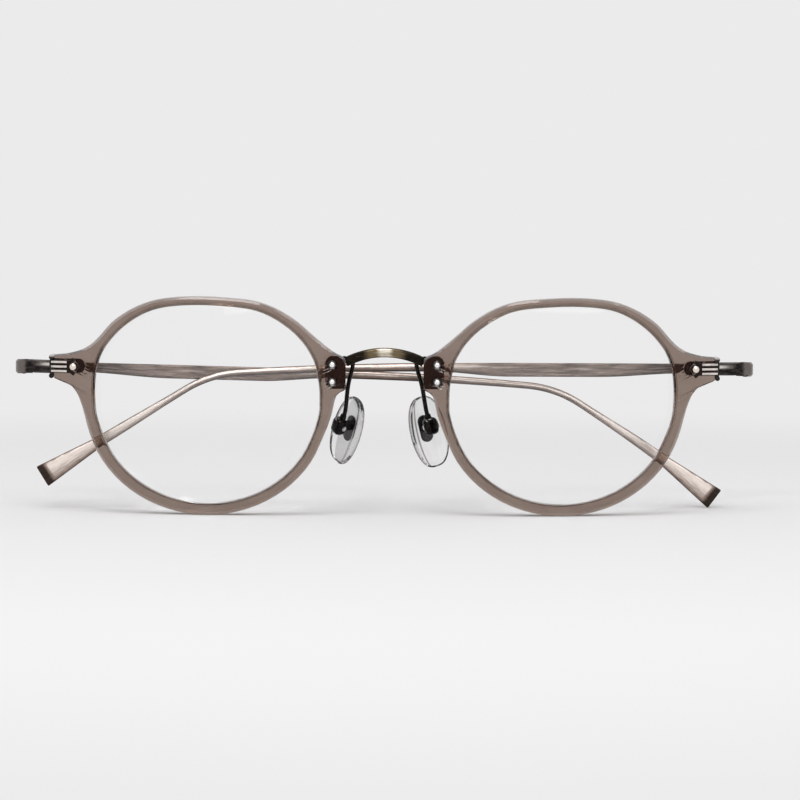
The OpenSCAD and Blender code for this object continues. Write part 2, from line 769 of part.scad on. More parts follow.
module temple_hinge(side) {
    out = knuckle_r + strip_gap - leaf_gap;
    color("dimgray") at_temple(side) difference() {
        union() {
            knuckle(-mid_half, mid_half);
            translate([-leaf_from - 0.2, 0, -mid_half]) cube([leaf_from + 0.2, out, 2 * mid_half]);
            translate([-leaf_from - leaf_len, out - leaf_t, -hinge_h / 2])
                cube([leaf_len, leaf_t, hinge_h]);
        }
        translate([0, 0, -hinge_h]) cylinder(r = hinge_screw_d / 2 + run_gap, h = 2 * hinge_h);
    }
}

// Run of the temple: [length, bend] of each stretch, from the hinge to the tip
rod_at = 60;
sag = 3.5;
set_from = 120;
set_len = 12;
function set_of(side) = side < 0 ? left_set : right_set;
function runs(side) = [
    [rod_at, 0.001],
    [ear_at - rod_at, sag],
    [bend_len, ear_drop],
    [set_from - ear_at - bend_len, 0.001],
    [set_len, set_of(side) + 0.001],
    [temple_len - set_from - set_len, 0.001]
];

// Place [x, z] and heading at length s along the runs
turn_unit = 180 / PI;
function run_at(list, s, i = 0, p = [0, 0], h = 0) = let (
    whole = list[i][0],
    here = i == len(list) - 1 ? s : min(s, whole),
    k = list[i][1] / whole,
    q = p + turn_unit / k * [sin(h + k * here) - sin(h), cos(h + k * here) - cos(h)]
) s <= whole || i == len(list) - 1 ? [q[0], q[1], h + k * here]
    : run_at(list, s - whole, i + 1, q, h + list[i][1]);

// A temple narrows from its root to a waist, widens to a flat blade, and runs on as a rod
root_h = 2.6;
waist_h = 1.9;
waist_at = 11;
blade_h = 2.7;
blade_from = 28;
blade_to = 46;
blade_sink = 0.4;
rod_h = 1.7;
thin_h = 1.5;
thin_at = 85;
ear_h = 1.35;

// Height, thickness, sink below the run and squareness along a temple
drop_at = ear_at + bend_len;
tip_len = temple_len - drop_at;
flare = 13;
flare_from = 2.1;
tip_h = 4.5;
tip_t = 1.15;
temple_heights = [
    [0, root_h], [waist_at, waist_h], [blade_from, blade_h], [blade_to, blade_h], [rod_at, rod_h],
    [thin_at, thin_h], [ear_at, ear_h], [drop_at, ear_h], [temple_len - flare, flare_from]
];
temple_thicks = [[blade_to, temple_t], [rod_at, rod_t], [ear_at, ear_h], [temple_len, tip_t]];
blade_sinks = [[waist_at, 0], [blade_from, blade_sink], [blade_to, blade_sink], [rod_at, 0]];
temple_corners = [[blade_to, 6], [rod_at, 2.3], [drop_at, 2.3], [temple_len - flare, 4], [temple_len, 7]];
temple_sides = 14;
station_gap = 4;
tip_round = 0.25;
temple_stations = concat(
    [butt_gap], [for (s = [station_gap:station_gap:ear_at - station_gap / 2]) s],
    [for (k = [0:7]) ear_at + bend_len * k / 7],
    [for (k = [1:8]) drop_at + (tip_len - tip_round) * k / 8], [temple_len]
);
function oval(a, n) = sign(a) * pow(abs(a), 2 / n);
function temple_ring(side, s) = let (
    p = run_at(runs(side), s),
    curl_s = max(0, s - ear_at),
    curl_k = tip_curl / (temple_len - ear_at),
    curl = turn_unit / max(curl_k, 0.001) * (1 - cos(max(curl_k, 0.001) * curl_s)),
    shrink = s == temple_len ? tip_round : 0,
    flared = max(0, (s - temple_len + flare) / flare) * (tip_h - flare_from),
    h = (table(temple_heights, s) + flared) * temple_size / 2 - shrink,
    t = table(temple_thicks, s) / 2 - shrink,
    n = table(temple_corners, s)
) [
    for (j = [0:temple_sides - 1]) let (
        a = 360 * (j + 0.5) / temple_sides,
        up = oval(sin(a), n) * h
    ) [
        -p[0] + up * -sin(p[2]),
        temple_back - curl + oval(cos(a), n) * t,
        p[1] - table(blade_sinks, s) + up * cos(p[2])
    ]
];

module temple(side) {
    color("rosybrown") at_temple(side)
        capped_solid([for (s = temple_stations) temple_ring(side, s)]);
}

rim(left);  // rim_left
rim(right);  // rim_right
lens(left);  // lens_left
lens(right);  // lens_right
bridge();
bridge_rivets(left);  // bridge_rivets_left
bridge_rivets(right);  // bridge_rivets_right
pad_arm(left);  // pad_arm_left
pad_arm(right);  // pad_arm_right
pad_box(left);  // pad_box_left
pad_box(right);  // pad_box_right
pad_screw(left);  // pad_screw_left
pad_screw(right);  // pad_screw_right
pad_insert(left);  // pad_insert_left
pad_insert(right);  // pad_insert_right
nose_pad(left);  // nose_pad_left
nose_pad(right);  // nose_pad_right
endpiece(left);  // endpiece_left
endpiece(right);  // endpiece_right
endpiece_shield(left);  // endpiece_shield_left
endpiece_shield(right);  // endpiece_shield_right
endpiece_rivet(left);  // endpiece_rivet_left
endpiece_rivet(right);  // endpiece_rivet_right
front_hinge(left);  // front_hinge_left
front_hinge(right);  // front_hinge_right
hinge_screw(left);  // hinge_screw_left
hinge_screw(right);  // hinge_screw_right
temple_hinge(left);  // temple_hinge_left
temple_hinge(right);  // temple_hinge_right
temple(left);  // temple_left
temple(right);  // temple_right
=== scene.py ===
import json
import math

import bmesh
import bpy
from mathutils import Matrix, Vector


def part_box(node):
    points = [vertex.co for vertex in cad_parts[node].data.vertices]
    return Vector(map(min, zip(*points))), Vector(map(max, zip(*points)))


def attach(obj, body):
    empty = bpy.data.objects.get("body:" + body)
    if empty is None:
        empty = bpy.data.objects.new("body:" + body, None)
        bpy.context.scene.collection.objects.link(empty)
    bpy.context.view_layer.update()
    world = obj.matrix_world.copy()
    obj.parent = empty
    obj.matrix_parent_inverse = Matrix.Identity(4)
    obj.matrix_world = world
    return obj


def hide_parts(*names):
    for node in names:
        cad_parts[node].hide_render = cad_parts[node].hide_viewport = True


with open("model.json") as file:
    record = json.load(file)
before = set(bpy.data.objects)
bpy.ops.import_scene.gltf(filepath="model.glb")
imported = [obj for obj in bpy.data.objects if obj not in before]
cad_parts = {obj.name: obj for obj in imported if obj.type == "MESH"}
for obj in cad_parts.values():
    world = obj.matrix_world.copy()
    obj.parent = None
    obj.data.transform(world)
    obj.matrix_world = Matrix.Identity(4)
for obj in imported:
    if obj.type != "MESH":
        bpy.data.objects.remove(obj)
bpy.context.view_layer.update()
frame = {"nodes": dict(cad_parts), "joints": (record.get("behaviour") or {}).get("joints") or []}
mm = 0.001
tiny = 1e-9

sides = {"left": -1, "right": 1}


def jointOf(name):
    return next(joint for joint in frame["joints"] if joint["name"] == name)


# Small helpers for node trees

def addNode(tree, kind, settings=None, inputs=None):
    node = tree.nodes.new(kind)
    for name, value in (settings or {}).items():
        setattr(node, name, value)
    for name, value in (inputs or {}).items():
        feed(tree, node.inputs[name], value)
    return node


def feed(tree, socket, value):
    if isinstance(value, bpy.types.NodeSocket):
        tree.links.new(value, socket)
    else:
        socket.default_value = value


def maths(tree, operation, a, b=0.0):
    node = addNode(tree, "ShaderNodeMath", {"operation": operation}, {0: a, 1: b})
    return node.outputs[0]


def between(tree, value, span, results=(0.0, 1.0)):
    # Eased step from the first result to the second while the value crosses the span
    node = addNode(tree, "ShaderNodeMapRange", {"interpolation_type": "SMOOTHSTEP"}, {
        "Value": value, "From Min": span[0], "From Max": span[1],
        "To Min": results[0], "To Max": results[1]})
    return node.outputs["Result"]


def blendColours(tree, share, a, b):
    # Inputs 0, 6 and 7 of the node are its factor and its two colours
    node = addNode(tree, "ShaderNodeMix", {"data_type": "RGBA"})
    feed(tree, node.inputs[0], share)
    feed(tree, node.inputs[6], a)
    feed(tree, node.inputs[7], b)
    return node.outputs[2]


def ramp(tree, value, stops):
    # Grey value at places between 0 and 1
    node = addNode(tree, "ShaderNodeValToRGB", None, {"Fac": value})
    elements = node.color_ramp.elements
    while len(elements) < len(stops):
        elements.new(0.5)
    for element, (place, grey) in zip(elements, stops):
        element.position = place
        element.color = (grey, grey, grey, 1)
    return node.outputs["Color"]


def splitVector(tree, vector):
    return addNode(tree, "ShaderNodeSeparateXYZ", None, {0: vector}).outputs


def placeOf(tree):
    return addNode(tree, "ShaderNodeTexCoord").outputs["Object"]


def normalOf(tree):
    return addNode(tree, "ShaderNodeTexCoord").outputs["Normal"]


def toOutput(tree, name, socket):
    tree.links.new(socket, tree.nodes["Material Output"].inputs[name])


def startMaterial(name, shader):
    material = bpy.data.materials.new(name)
    material.use_nodes = True
    tree = material.node_tree
    tree.nodes.clear()
    addNode(tree, "ShaderNodeOutputMaterial")
    body = addNode(tree, "ShaderNodeBsdfPrincipled", None, shader)
    toOutput(tree, "Surface", body.outputs["BSDF"])
    return material, tree, body


def startGroup(name, inputs, outputs):
    tree = bpy.data.node_groups.new(name, "ShaderNodeTree")
    for label, kind, value in inputs:
        socket = tree.interface.new_socket(name=label, in_out="INPUT", socket_type="NodeSocket" + kind)
        if value is not None:
            socket.default_value = value
    for label, kind in outputs:
        tree.interface.new_socket(name=label, in_out="OUTPUT", socket_type="NodeSocket" + kind)
    return tree, addNode(tree, "NodeGroupInput"), addNode(tree, "NodeGroupOutput")


def useGroup(tree, group, inputs):
    return addNode(tree, "ShaderNodeGroup", {"node_tree": group}, inputs).outputs


# Effects that several finishes share

grainSizes = {
    "coarseScale": 0.35, "coarseShare": 0.6, "fineScale": 1.4, "fineShare": 0.4,
    "contrast": (0.36, 0.64),
}


def makeBrushGroup(sizes):
    # Fine scratches that run along the first direction of the vector
    tree, given, result = startGroup("brushedGrain", [
        ("Vector", "Vector", None), ("Length", "Float", 300.0), ("Width", "Float", 9000.0)],
        [("Mask", "Float"), ("Height", "Float")])
    stretch = addNode(tree, "ShaderNodeCombineXYZ", None, {
        "X": given.outputs["Length"], "Y": given.outputs["Width"], "Z": given.outputs["Width"]})
    scaled = addNode(tree, "ShaderNodeVectorMath", {"operation": "MULTIPLY"}, {
        0: given.outputs["Vector"], 1: stretch.outputs["Vector"]}).outputs["Vector"]
    coarse = addNode(tree, "ShaderNodeTexNoise", None, {
        "Vector": scaled, "Scale": sizes["coarseScale"], "Detail": 2.0, "Roughness": 0.5})
    fine = addNode(tree, "ShaderNodeTexNoise", None, {
        "Vector": scaled, "Scale": sizes["fineScale"], "Detail": 3.0, "Roughness": 0.6})
    both = maths(tree, "ADD", maths(tree, "MULTIPLY", coarse.outputs["Fac"], sizes["coarseShare"]),
                 maths(tree, "MULTIPLY", fine.outputs["Fac"], sizes["fineShare"]))
    feed(tree, result.inputs["Mask"], between(tree, both, sizes["contrast"]))
    feed(tree, result.inputs["Height"], fine.outputs["Fac"])
    return tree


def makeMottleGroup(contrast):
    # Soft clouds, between 0 and 1
    tree, given, result = startGroup("softMottle", [
        ("Vector", "Vector", None), ("Scale", "Float", 300.0), ("Detail", "Float", 3.0)],
        [("Mask", "Float")])
    noise = addNode(tree, "ShaderNodeTexNoise", None, {
        "Vector": given.outputs["Vector"], "Scale": given.outputs["Scale"],
        "Detail": given.outputs["Detail"], "Roughness": 0.55})
    feed(tree, result.inputs["Mask"], between(tree, noise.outputs["Fac"], contrast))
    return tree


def makePatinaGroup(roughness):
    # Antique plating: the first input runs from 0, the dark patina, to 1, bright; the finishes feed it
    # real wear and also painted light and shade
    tree, given, result = startGroup("antiquePatina", [
        ("Wear And Light", "Float", 0.5), ("Grain", "Float", 0.5), ("Grain Amount", "Float", 0.2),
        ("Dark", "Color", (0.03, 0.025, 0.02, 1)), ("Mid", "Color", (0.3, 0.26, 0.24, 1)),
        ("Bright", "Color", (0.8, 0.75, 0.7, 1))],
        [("Color", "Color"), ("Roughness", "Float")])
    swing = maths(tree, "MULTIPLY", maths(tree, "SUBTRACT", given.outputs["Grain"], 0.5),
                  given.outputs["Grain Amount"])
    wearAndLight = maths(tree, "ADD", given.outputs["Wear And Light"], swing)
    low = blendColours(tree, between(tree, wearAndLight, (0.0, 0.5)),
                       given.outputs["Dark"], given.outputs["Mid"])
    feed(tree, result.inputs["Color"],
         blendColours(tree, between(tree, wearAndLight, (0.5, 1.0)), low, given.outputs["Bright"]))
    feed(tree, result.inputs["Roughness"], between(tree, wearAndLight, (0.0, 1.0), roughness))
    return tree


brushGroup = makeBrushGroup(grainSizes)
mottleGroup = makeMottleGroup((0.3, 0.7))
patinaGroup = makePatinaGroup((0.42, 0.27))
print("shared effects made")


# Helpers for the finishes

def useBrush(tree, vector, grain):
    return useGroup(tree, brushGroup, {"Vector": vector, "Length": grain[0], "Width": grain[1]})


def useMottle(tree, vector, mottle):
    return useGroup(tree, mottleGroup, {
        "Vector": vector, "Scale": mottle[0], "Detail": mottle[1]})["Mask"]


def usePatina(tree, body, wearAndLight, grain, looks):
    patina = useGroup(tree, patinaGroup, {
        "Wear And Light": wearAndLight, "Grain": grain, "Grain Amount": looks["grainAmount"],
        "Dark": looks["dark"], "Mid": looks["mid"], "Bright": looks["bright"]})
    feed(tree, body.inputs["Base Color"], patina["Color"])
    feed(tree, body.inputs["Roughness"],
         maths(tree, "MULTIPLY", patina["Roughness"], looks["roughShare"]))


def addBump(tree, body, height, bump):
    node = addNode(tree, "ShaderNodeBump", None, {
        "Height": height, "Distance": bump[0], "Strength": bump[1]})
    feed(tree, body.inputs["Normal"], node.outputs["Normal"])


def addDepth(tree, looks):
    # Colour that deepens with the thickness of a clear piece
    smoke = addNode(tree, "ShaderNodeVolumeAbsorption", None, {
        "Color": looks["depthTint"], "Density": looks["depthDensity"]})
    toOutput(tree, "Volume", smoke.outputs["Volume"])


def passShadows(tree, body, tint):
    # Shadow rays pass, so a clear piece throws only the faint shadow that a real one does
    clear = addNode(tree, "ShaderNodeBsdfTransparent", None, {"Color": tint})
    path = addNode(tree, "ShaderNodeLightPath")
    mix = addNode(tree, "ShaderNodeMixShader", None, {
        0: path.outputs["Is Shadow Ray"], 1: body.outputs["BSDF"], 2: clear.outputs["BSDF"]})
    toOutput(tree, "Surface", mix.outputs["Shader"])


# Finishes: a mottle is a pair of scale and detail, a grain one of length and width across,
# and a bump one of height and strength

acetateLooks = {
    "index": 1.49, "shine": (0.6, 0.34, 0.28, 1), "roughness": (0.03, 0.07),
    "tint": (0.67, 0.68, 0.665, 1), "cloudTint": (0.59, 0.59, 0.575, 1),
    "cloud": (220.0, 4.0), "cloudStretch": (1.0, 0.5, 1.6), "polish": (900.0, 2.0),
    "depthTint": (0.42, 0.235, 0.13, 1), "depthDensity": 400.0,
    "coatIndex": 2.7, "coatRoughness": 0.06, "coatRise": (-0.5, 0.3), "coat": (0.25, 1.0),
    "offFace": (0.2, 0.4), "offWall": (0.8, 0.92), "innerWall": (16.0 * mm, 24.0 * mm),
}


def makeAcetate(looks):
    material, tree, body = startMaterial("rimAcetate", {
        "IOR": looks["index"], "Transmission Weight": 1.0, "Metallic": 0.0,
        "Specular Tint": looks["shine"], "Coat IOR": looks["coatIndex"],
        "Coat Roughness": looks["coatRoughness"]})
    addDepth(tree, looks)
    place = placeOf(tree)
    stretched = addNode(tree, "ShaderNodeVectorMath", {"operation": "MULTIPLY"}, {
        0: place, 1: looks["cloudStretch"]})
    cloud = useMottle(tree, stretched.outputs["Vector"], looks["cloud"])
    feed(tree, body.inputs["Base Color"],
         blendColours(tree, cloud, looks["tint"], looks["cloudTint"]))
    feed(tree, body.inputs["Roughness"],
         between(tree, useMottle(tree, place, looks["polish"]), (0.0, 1.0), looks["roughness"]))
    # The coat brightens the roundings between face and wall, and the inner wall low on the rim
    facing = splitVector(tree, normalOf(tree))
    turned = maths(tree, "ABSOLUTE", facing["Y"])
    low = between(tree, splitVector(tree, place)["Z"], looks["innerWall"], (1.0, 0.0))
    offFace = maths(tree, "MAXIMUM", low, between(tree, turned, looks["offFace"]))
    rounding = maths(tree, "MULTIPLY", offFace,
                     between(tree, turned, looks["offWall"], (1.0, 0.0)))
    coat = between(tree, facing["Z"], looks["coatRise"], looks["coat"])
    feed(tree, body.inputs["Coat Weight"], maths(tree, "MULTIPLY", rounding, coat))
    return material


lensLooks = {
    "index": 1.5, "smear": (120.0, 2.0), "roughness": (0.0, 0.012),
    "clean": (0.998, 1.0, 0.999, 1), "smeared": (0.988, 0.993, 0.993, 1),
    "shadow": (0.96, 0.965, 0.965, 1),
}


def makeLensClear(looks):
    material, tree, body = startMaterial("lensClear", {
        "IOR": looks["index"], "Transmission Weight": 1.0, "Metallic": 0.0})
    smear = useMottle(tree, placeOf(tree), looks["smear"])
    feed(tree, body.inputs["Roughness"], between(tree, smear, (0.0, 1.0), looks["roughness"]))
    feed(tree, body.inputs["Base Color"],
         blendColours(tree, smear, looks["clean"], looks["smeared"]))
    passShadows(tree, body, looks["shadow"])
    return material


siliconeLooks = {
    "index": 1.45, "clearShare": 0.98, "haze": (700.0, 3.0), "roughness": (0.03, 0.07),
    "clean": (0.97, 0.975, 0.97, 1), "hazy": (0.94, 0.95, 0.945, 1),
    # The edge colour is painted shade where the surface turns from the view
    "edge": (0.16, 0.15, 0.143, 1), "edgeShadeFrom": (0.2, 0.56),
    "depthTint": (0.84, 0.836, 0.832, 1), "depthDensity": 220.0,
    "shadow": (0.8, 0.81, 0.81, 1),
}


def makeSilicone(looks):
    material, tree, body = startMaterial("padSilicone", {
        "IOR": looks["index"], "Transmission Weight": looks["clearShare"], "Metallic": 0.0})
    addDepth(tree, looks)
    haze = useMottle(tree, placeOf(tree), looks["haze"])
    feed(tree, body.inputs["Roughness"], between(tree, haze, (0.0, 1.0), looks["roughness"]))
    clean = blendColours(tree, haze, looks["clean"], looks["hazy"])
    # Painted shade: the colour darkens towards the edges as the surface turns from the view
    turned = addNode(tree, "ShaderNodeLayerWeight", None, {"Blend": 0.5}).outputs["Facing"]
    feed(tree, body.inputs["Base Color"],
         blendColours(tree, between(tree, turned, looks["edgeShadeFrom"]), clean, looks["edge"]))
    passShadows(tree, body, looks["shadow"])
    return material


bridgeLooks = {
    "dark": (0.012, 0.01, 0.008, 1),
    "mid": (0.17, 0.13, 0.075, 1),
    "bright": (0.95, 0.88, 0.74, 1),
    # Painted highlight on the crown, brighter towards the strap's top, and painted shade on roundings
    # that face up or down
    "crown": (0.6 * mm, 2.2 * mm), "crownWear": (0.5, 0.0),
    "crownRise": (31.0 * mm, 32.2 * mm), "crownShares": (0.4, 1.0),
    "gilt": (2.2 * mm, 4.7 * mm), "giltWear": (0.5, 0.04),
    "roundingShade": (0.35, 0.8), "roundingShadeShares": (1.0, 0.3),
    "grain": (900.0, 6000.0), "grainAmount": 0.16, "roughShare": 1.0, "bump": (0.01 * mm, 0.35),
}


def makeBridgeGold(looks):
    # Painted highlight on the crown, brighter towards the strap's top, and painted shade on roundings
    # that face up or down; gilt beside the crown and dark patina towards the plates
    material, tree, body = startMaterial("bridgeGold", {"Metallic": 1.0})
    place = placeOf(tree)
    spot = splitVector(tree, place)
    reach = maths(tree, "ABSOLUTE", spot["X"])
    # Painted highlight on the crown, brighter towards the strap's top
    crown = maths(tree, "MULTIPLY",
                  between(tree, spot["Z"], looks["crownRise"], looks["crownShares"]),
                  between(tree, reach, looks["crown"], looks["crownWear"]))
    gilt = between(tree, reach, looks["gilt"], looks["giltWear"])
    # Painted shade: roundings that face up or down keep less of the brightness
    turned = maths(tree, "ABSOLUTE", splitVector(tree, normalOf(tree))["Z"])
    wearAndLight = maths(tree, "MULTIPLY", maths(tree, "ADD", crown, gilt),
                 between(tree, turned, looks["roundingShade"], looks["roundingShadeShares"]))
    grain = useBrush(tree, place, looks["grain"])
    usePatina(tree, body, wearAndLight, grain["Mask"], looks)
    addBump(tree, body, grain["Height"], looks["bump"])
    return material


rivetLooks = {
    "dark": (0.02, 0.018, 0.017, 1),
    "mid": (0.2, 0.185, 0.18, 1),
    # Painted highlights: on the dome where it faces the front, and in a crescent low on it
    "crownWear": (0.16, 1.0), "crescentHighlight": (-0.45, -0.68), "crescentHighlightShares": (0.0, 0.85),
    "mottle": (2500.0, 2.0), "grainAmount": 0.12, "roughShare": 0.6,
}


def makeRivetSteel(name, bright, crown, looks):
    # Painted highlights: the dome is bright where it faces the front and in a crescent low on it, and
    # stays dark round its foot
    material, tree, body = startMaterial(name, {"Metallic": 1.0})
    facing = splitVector(tree, normalOf(tree))
    facingFront = maths(tree, "MULTIPLY", facing["Y"], -1.0)
    wearAndLight = maths(tree, "MAXIMUM", between(tree, facingFront, crown, looks["crownWear"]),
                 between(tree, facing["Z"], looks["crescentHighlight"], looks["crescentHighlightShares"]))
    mottle = useMottle(tree, placeOf(tree), looks["mottle"])
    usePatina(tree, body, wearAndLight, mottle, {**looks, "bright": bright})
    return material


platingLooks = {
    "colour": (0.009, 0.008, 0.008, 1),
    "fleck": (0.022, 0.019, 0.017, 1),
    # The lighter colour makes painted glints, in spots on roundings that face the upper front
    "glintColour": (0.5, 0.48, 0.46, 1),
    "glintTowards": (-0.25, -0.72, 0.65), "glints": (0.9, 0.99),
    "spots": (1100.0, 1.0), "spotEdges": (0.35, 0.75),
    "mottle": (1800.0, 3.0), "roughness": (0.16, 0.26), "bump": (0.004 * mm, 0.4),
}


def makeBlackPlating(looks):
    # Painted glints: spots of a lighter colour on the roundings that face the upper front
    material, tree, body = startMaterial("blackPlating", {"Metallic": 1.0})
    place = placeOf(tree)
    facing = addNode(tree, "ShaderNodeVectorMath", {"operation": "DOT_PRODUCT"}, {
        0: normalOf(tree), 1: looks["glintTowards"]}).outputs["Value"]
    mottle = useMottle(tree, place, looks["mottle"])
    spots = useMottle(tree, place, looks["spots"])
    plated = blendColours(tree, mottle, looks["colour"], looks["fleck"])
    # Painted glints on the roundings that face the upper front
    glints = maths(tree, "MULTIPLY", between(tree, facing, looks["glints"]),
                   between(tree, spots, looks["spotEdges"]))
    feed(tree, body.inputs["Base Color"], blendColours(tree, glints, plated, looks["glintColour"]))
    feed(tree, body.inputs["Roughness"], between(tree, mottle, (0.0, 1.0), looks["roughness"]))
    addBump(tree, body, mottle, looks["bump"])
    return material


shieldLooks = {
    "dark": (0.024, 0.018, 0.016, 1),
    # The lighter colour is a painted highlight on the edges and in a ring round the rivet
    "bevelHighlight": (0.3, 0.25, 0.23, 1),
    "highlightRingIn": (0.8 * mm, 0.98 * mm), "highlightRingOut": (0.98 * mm, 1.16 * mm),
    "edge": (0.7, 0.92), "bevelHighlightShares": (0.55, 1.0),
    "mottle": (1800.0, 3.0), "roughness": (0.25, 0.4), "bump": (0.004 * mm, 0.4),
}


def makeShieldRecess(looks):
    # Black patina in the hollows, with a painted highlight on the edges and in a ring round the rivet
    material, tree, body = startMaterial("shieldRecess", {"Metallic": 1.0})
    low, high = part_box("endpiece_rivet_right")
    place = placeOf(tree)
    spot = splitVector(tree, place)
    aside = maths(tree, "SUBTRACT", maths(tree, "ABSOLUTE", spot["X"]), (low[0] + high[0]) / 2)
    above = maths(tree, "SUBTRACT", spot["Z"], (low[2] + high[2]) / 2)
    reach = maths(tree, "SQRT", maths(tree, "ADD", maths(tree, "MULTIPLY", aside, aside),
                                      maths(tree, "MULTIPLY", above, above)))
    # Painted highlight in a ring round the rivet and on edges turned from the front
    ring = maths(tree, "MULTIPLY", between(tree, reach, looks["highlightRingIn"]),
                 between(tree, reach, looks["highlightRingOut"], (1.0, 0.0)))
    turned = maths(tree, "ABSOLUTE", splitVector(tree, normalOf(tree))["Y"])
    edge = between(tree, turned, looks["edge"], (1.0, 0.0))
    mottle = useMottle(tree, place, looks["mottle"])
    bevelHighlight = maths(tree, "MULTIPLY", maths(tree, "MAXIMUM", ring, edge),
                 between(tree, mottle, (0.0, 1.0), looks["bevelHighlightShares"]))
    feed(tree, body.inputs["Base Color"], blendColours(tree, bevelHighlight, looks["dark"], looks["bevelHighlight"]))
    feed(tree, body.inputs["Roughness"], between(tree, mottle, (0.0, 1.0), looks["roughness"]))
    addBump(tree, body, mottle, looks["bump"])
    return material


endpieceLooks = {
    "dark": (0.01, 0.009, 0.009, 1),
    "mid": (0.16, 0.14, 0.13, 1),
    "bright": (0.7, 0.66, 0.63, 1),
    "endBand": (69.8 * mm, 70.8 * mm), "endWear": (0.0, 0.4),
    "neckIn": (65.1 * mm, 65.5 * mm), "neckOut": (65.5 * mm, 69.2 * mm),
    # Painted highlights: a streak along the neck, the upper bead and faces turned up
    "neckHighlightHeight": 28.75 * mm, "neckHighlightHalf": (0.12 * mm, 0.6 * mm), "neckHighlightShares": (0.85, 0.0),
    "beadHighlight": (30.1 * mm, 30.45 * mm), "beadHighlightShares": (0.0, 0.75),
    "crown": (0.55, 0.95), "crownWear": (0.0, 0.35), "leastWear": 0.1,
    "grain": (500.0, 7000.0), "grainAmount": 0.14, "roughShare": 0.75, "bump": (0.008 * mm, 0.3),
}


def makeEndpieceMetal(looks):
    # Gunmetal, lighter on the strip's end; painted highlights on the upper bead, on faces turned up
    # and in a streak along the neck
    material, tree, body = startMaterial("endpieceGunmetal", {"Metallic": 1.0})
    place = placeOf(tree)
    spot = splitVector(tree, place)
    reach = maths(tree, "ABSOLUTE", spot["X"])
    endBand = between(tree, reach, looks["endBand"], looks["endWear"])
    neck = maths(tree, "MULTIPLY", between(tree, reach, looks["neckIn"]),
                 between(tree, reach, looks["neckOut"], (1.0, 0.0)))
    # Painted highlight: a streak along the neck
    above = maths(tree, "ABSOLUTE", maths(tree, "SUBTRACT", spot["Z"], looks["neckHighlightHeight"]))
    streak = maths(tree, "MULTIPLY", neck,
                   between(tree, above, looks["neckHighlightHalf"], looks["neckHighlightShares"]))
    # Painted highlights on the upper bead and on faces turned up
    beadHighlight = between(tree, spot["Z"], looks["beadHighlight"], looks["beadHighlightShares"])
    crown = between(tree, splitVector(tree, normalOf(tree))["Z"], looks["crown"], looks["crownWear"])
    most = maths(tree, "MAXIMUM", maths(tree, "MAXIMUM", endBand, streak),
                 maths(tree, "MAXIMUM", beadHighlight, crown))
    wearAndLight = maths(tree, "ADD", most, looks["leastWear"])
    grain = useBrush(tree, place, looks["grain"])
    usePatina(tree, body, wearAndLight, grain["Mask"], looks)
    addBump(tree, body, grain["Height"], looks["bump"])
    return material


steelLooks = {
    "dark": (0.02, 0.018, 0.017, 1),
    "grain": (700.0, 5000.0), "grainAmount": 0.25, "roughShare": 1.0, "bump": (0.008 * mm, 0.3),
}


def makeSteel(name, bright, mid, topLightShares, looks):
    # Painted light from above: lighter on the tops, darker on the undersides
    material, tree, body = startMaterial(name, {"Metallic": 1.0})
    wearAndLight = between(tree, splitVector(tree, normalOf(tree))["Z"], (-1.0, 1.0), topLightShares)
    grain = useBrush(tree, placeOf(tree), looks["grain"])
    usePatina(tree, body, wearAndLight, grain["Mask"], {**looks, "bright": bright, "mid": mid})
    addBump(tree, body, grain["Height"], looks["bump"])
    return material


# Lengths along the temple in mm; each list holds painted light and shade across the section, from the
# lower edge (0) to the upper one (1): a painted highlight band high on the rod and tip, and painted
# shade towards the edges
templeLooks = {
    "dark": (0.038, 0.027, 0.022, 1),
    "mid": (0.26, 0.196, 0.166, 1),
    "bright": (0.96, 0.86, 0.79, 1),
    # The blade's root, behind the rim, is darker: painted shade
    "root": (8.0, 30.0), "rootShares": (0.25, 1.0),
    "bladeEnd": (44.0, 58.0), "streakShares": (1.0, 0.35),
    "tipStart": (103.0, 122.0), "tipFade": (2.3, 1.0), "tipShares": (1.0, 0.02),
    "blade": [(0.0, 0.1), (0.07, 0.27), (0.17, 0.54), (0.28, 0.44), (0.5, 0.41), (0.66, 0.48),
              (0.84, 0.37), (1.0, 0.24)],
    "rod": [(0.0, 0.04), (0.14, 0.16), (0.3, 0.36), (0.48, 0.62), (0.62, 0.95), (0.76, 0.84),
            (0.9, 0.45), (1.0, 0.12)],
    "tip": [(0.0, 0.1), (0.06, 0.37), (0.18, 0.62), (0.4, 0.79), (0.62, 0.9), (0.86, 0.95),
            (0.95, 0.6), (1.0, 0.2)],
    "streaks": (0.55, 16.0), "clouds": (0.5, 3.0), "cloudSwing": 0.05,
    "grainAmount": 0.44, "roughShare": 1.0, "bump": (0.008 * mm, 0.3),
}


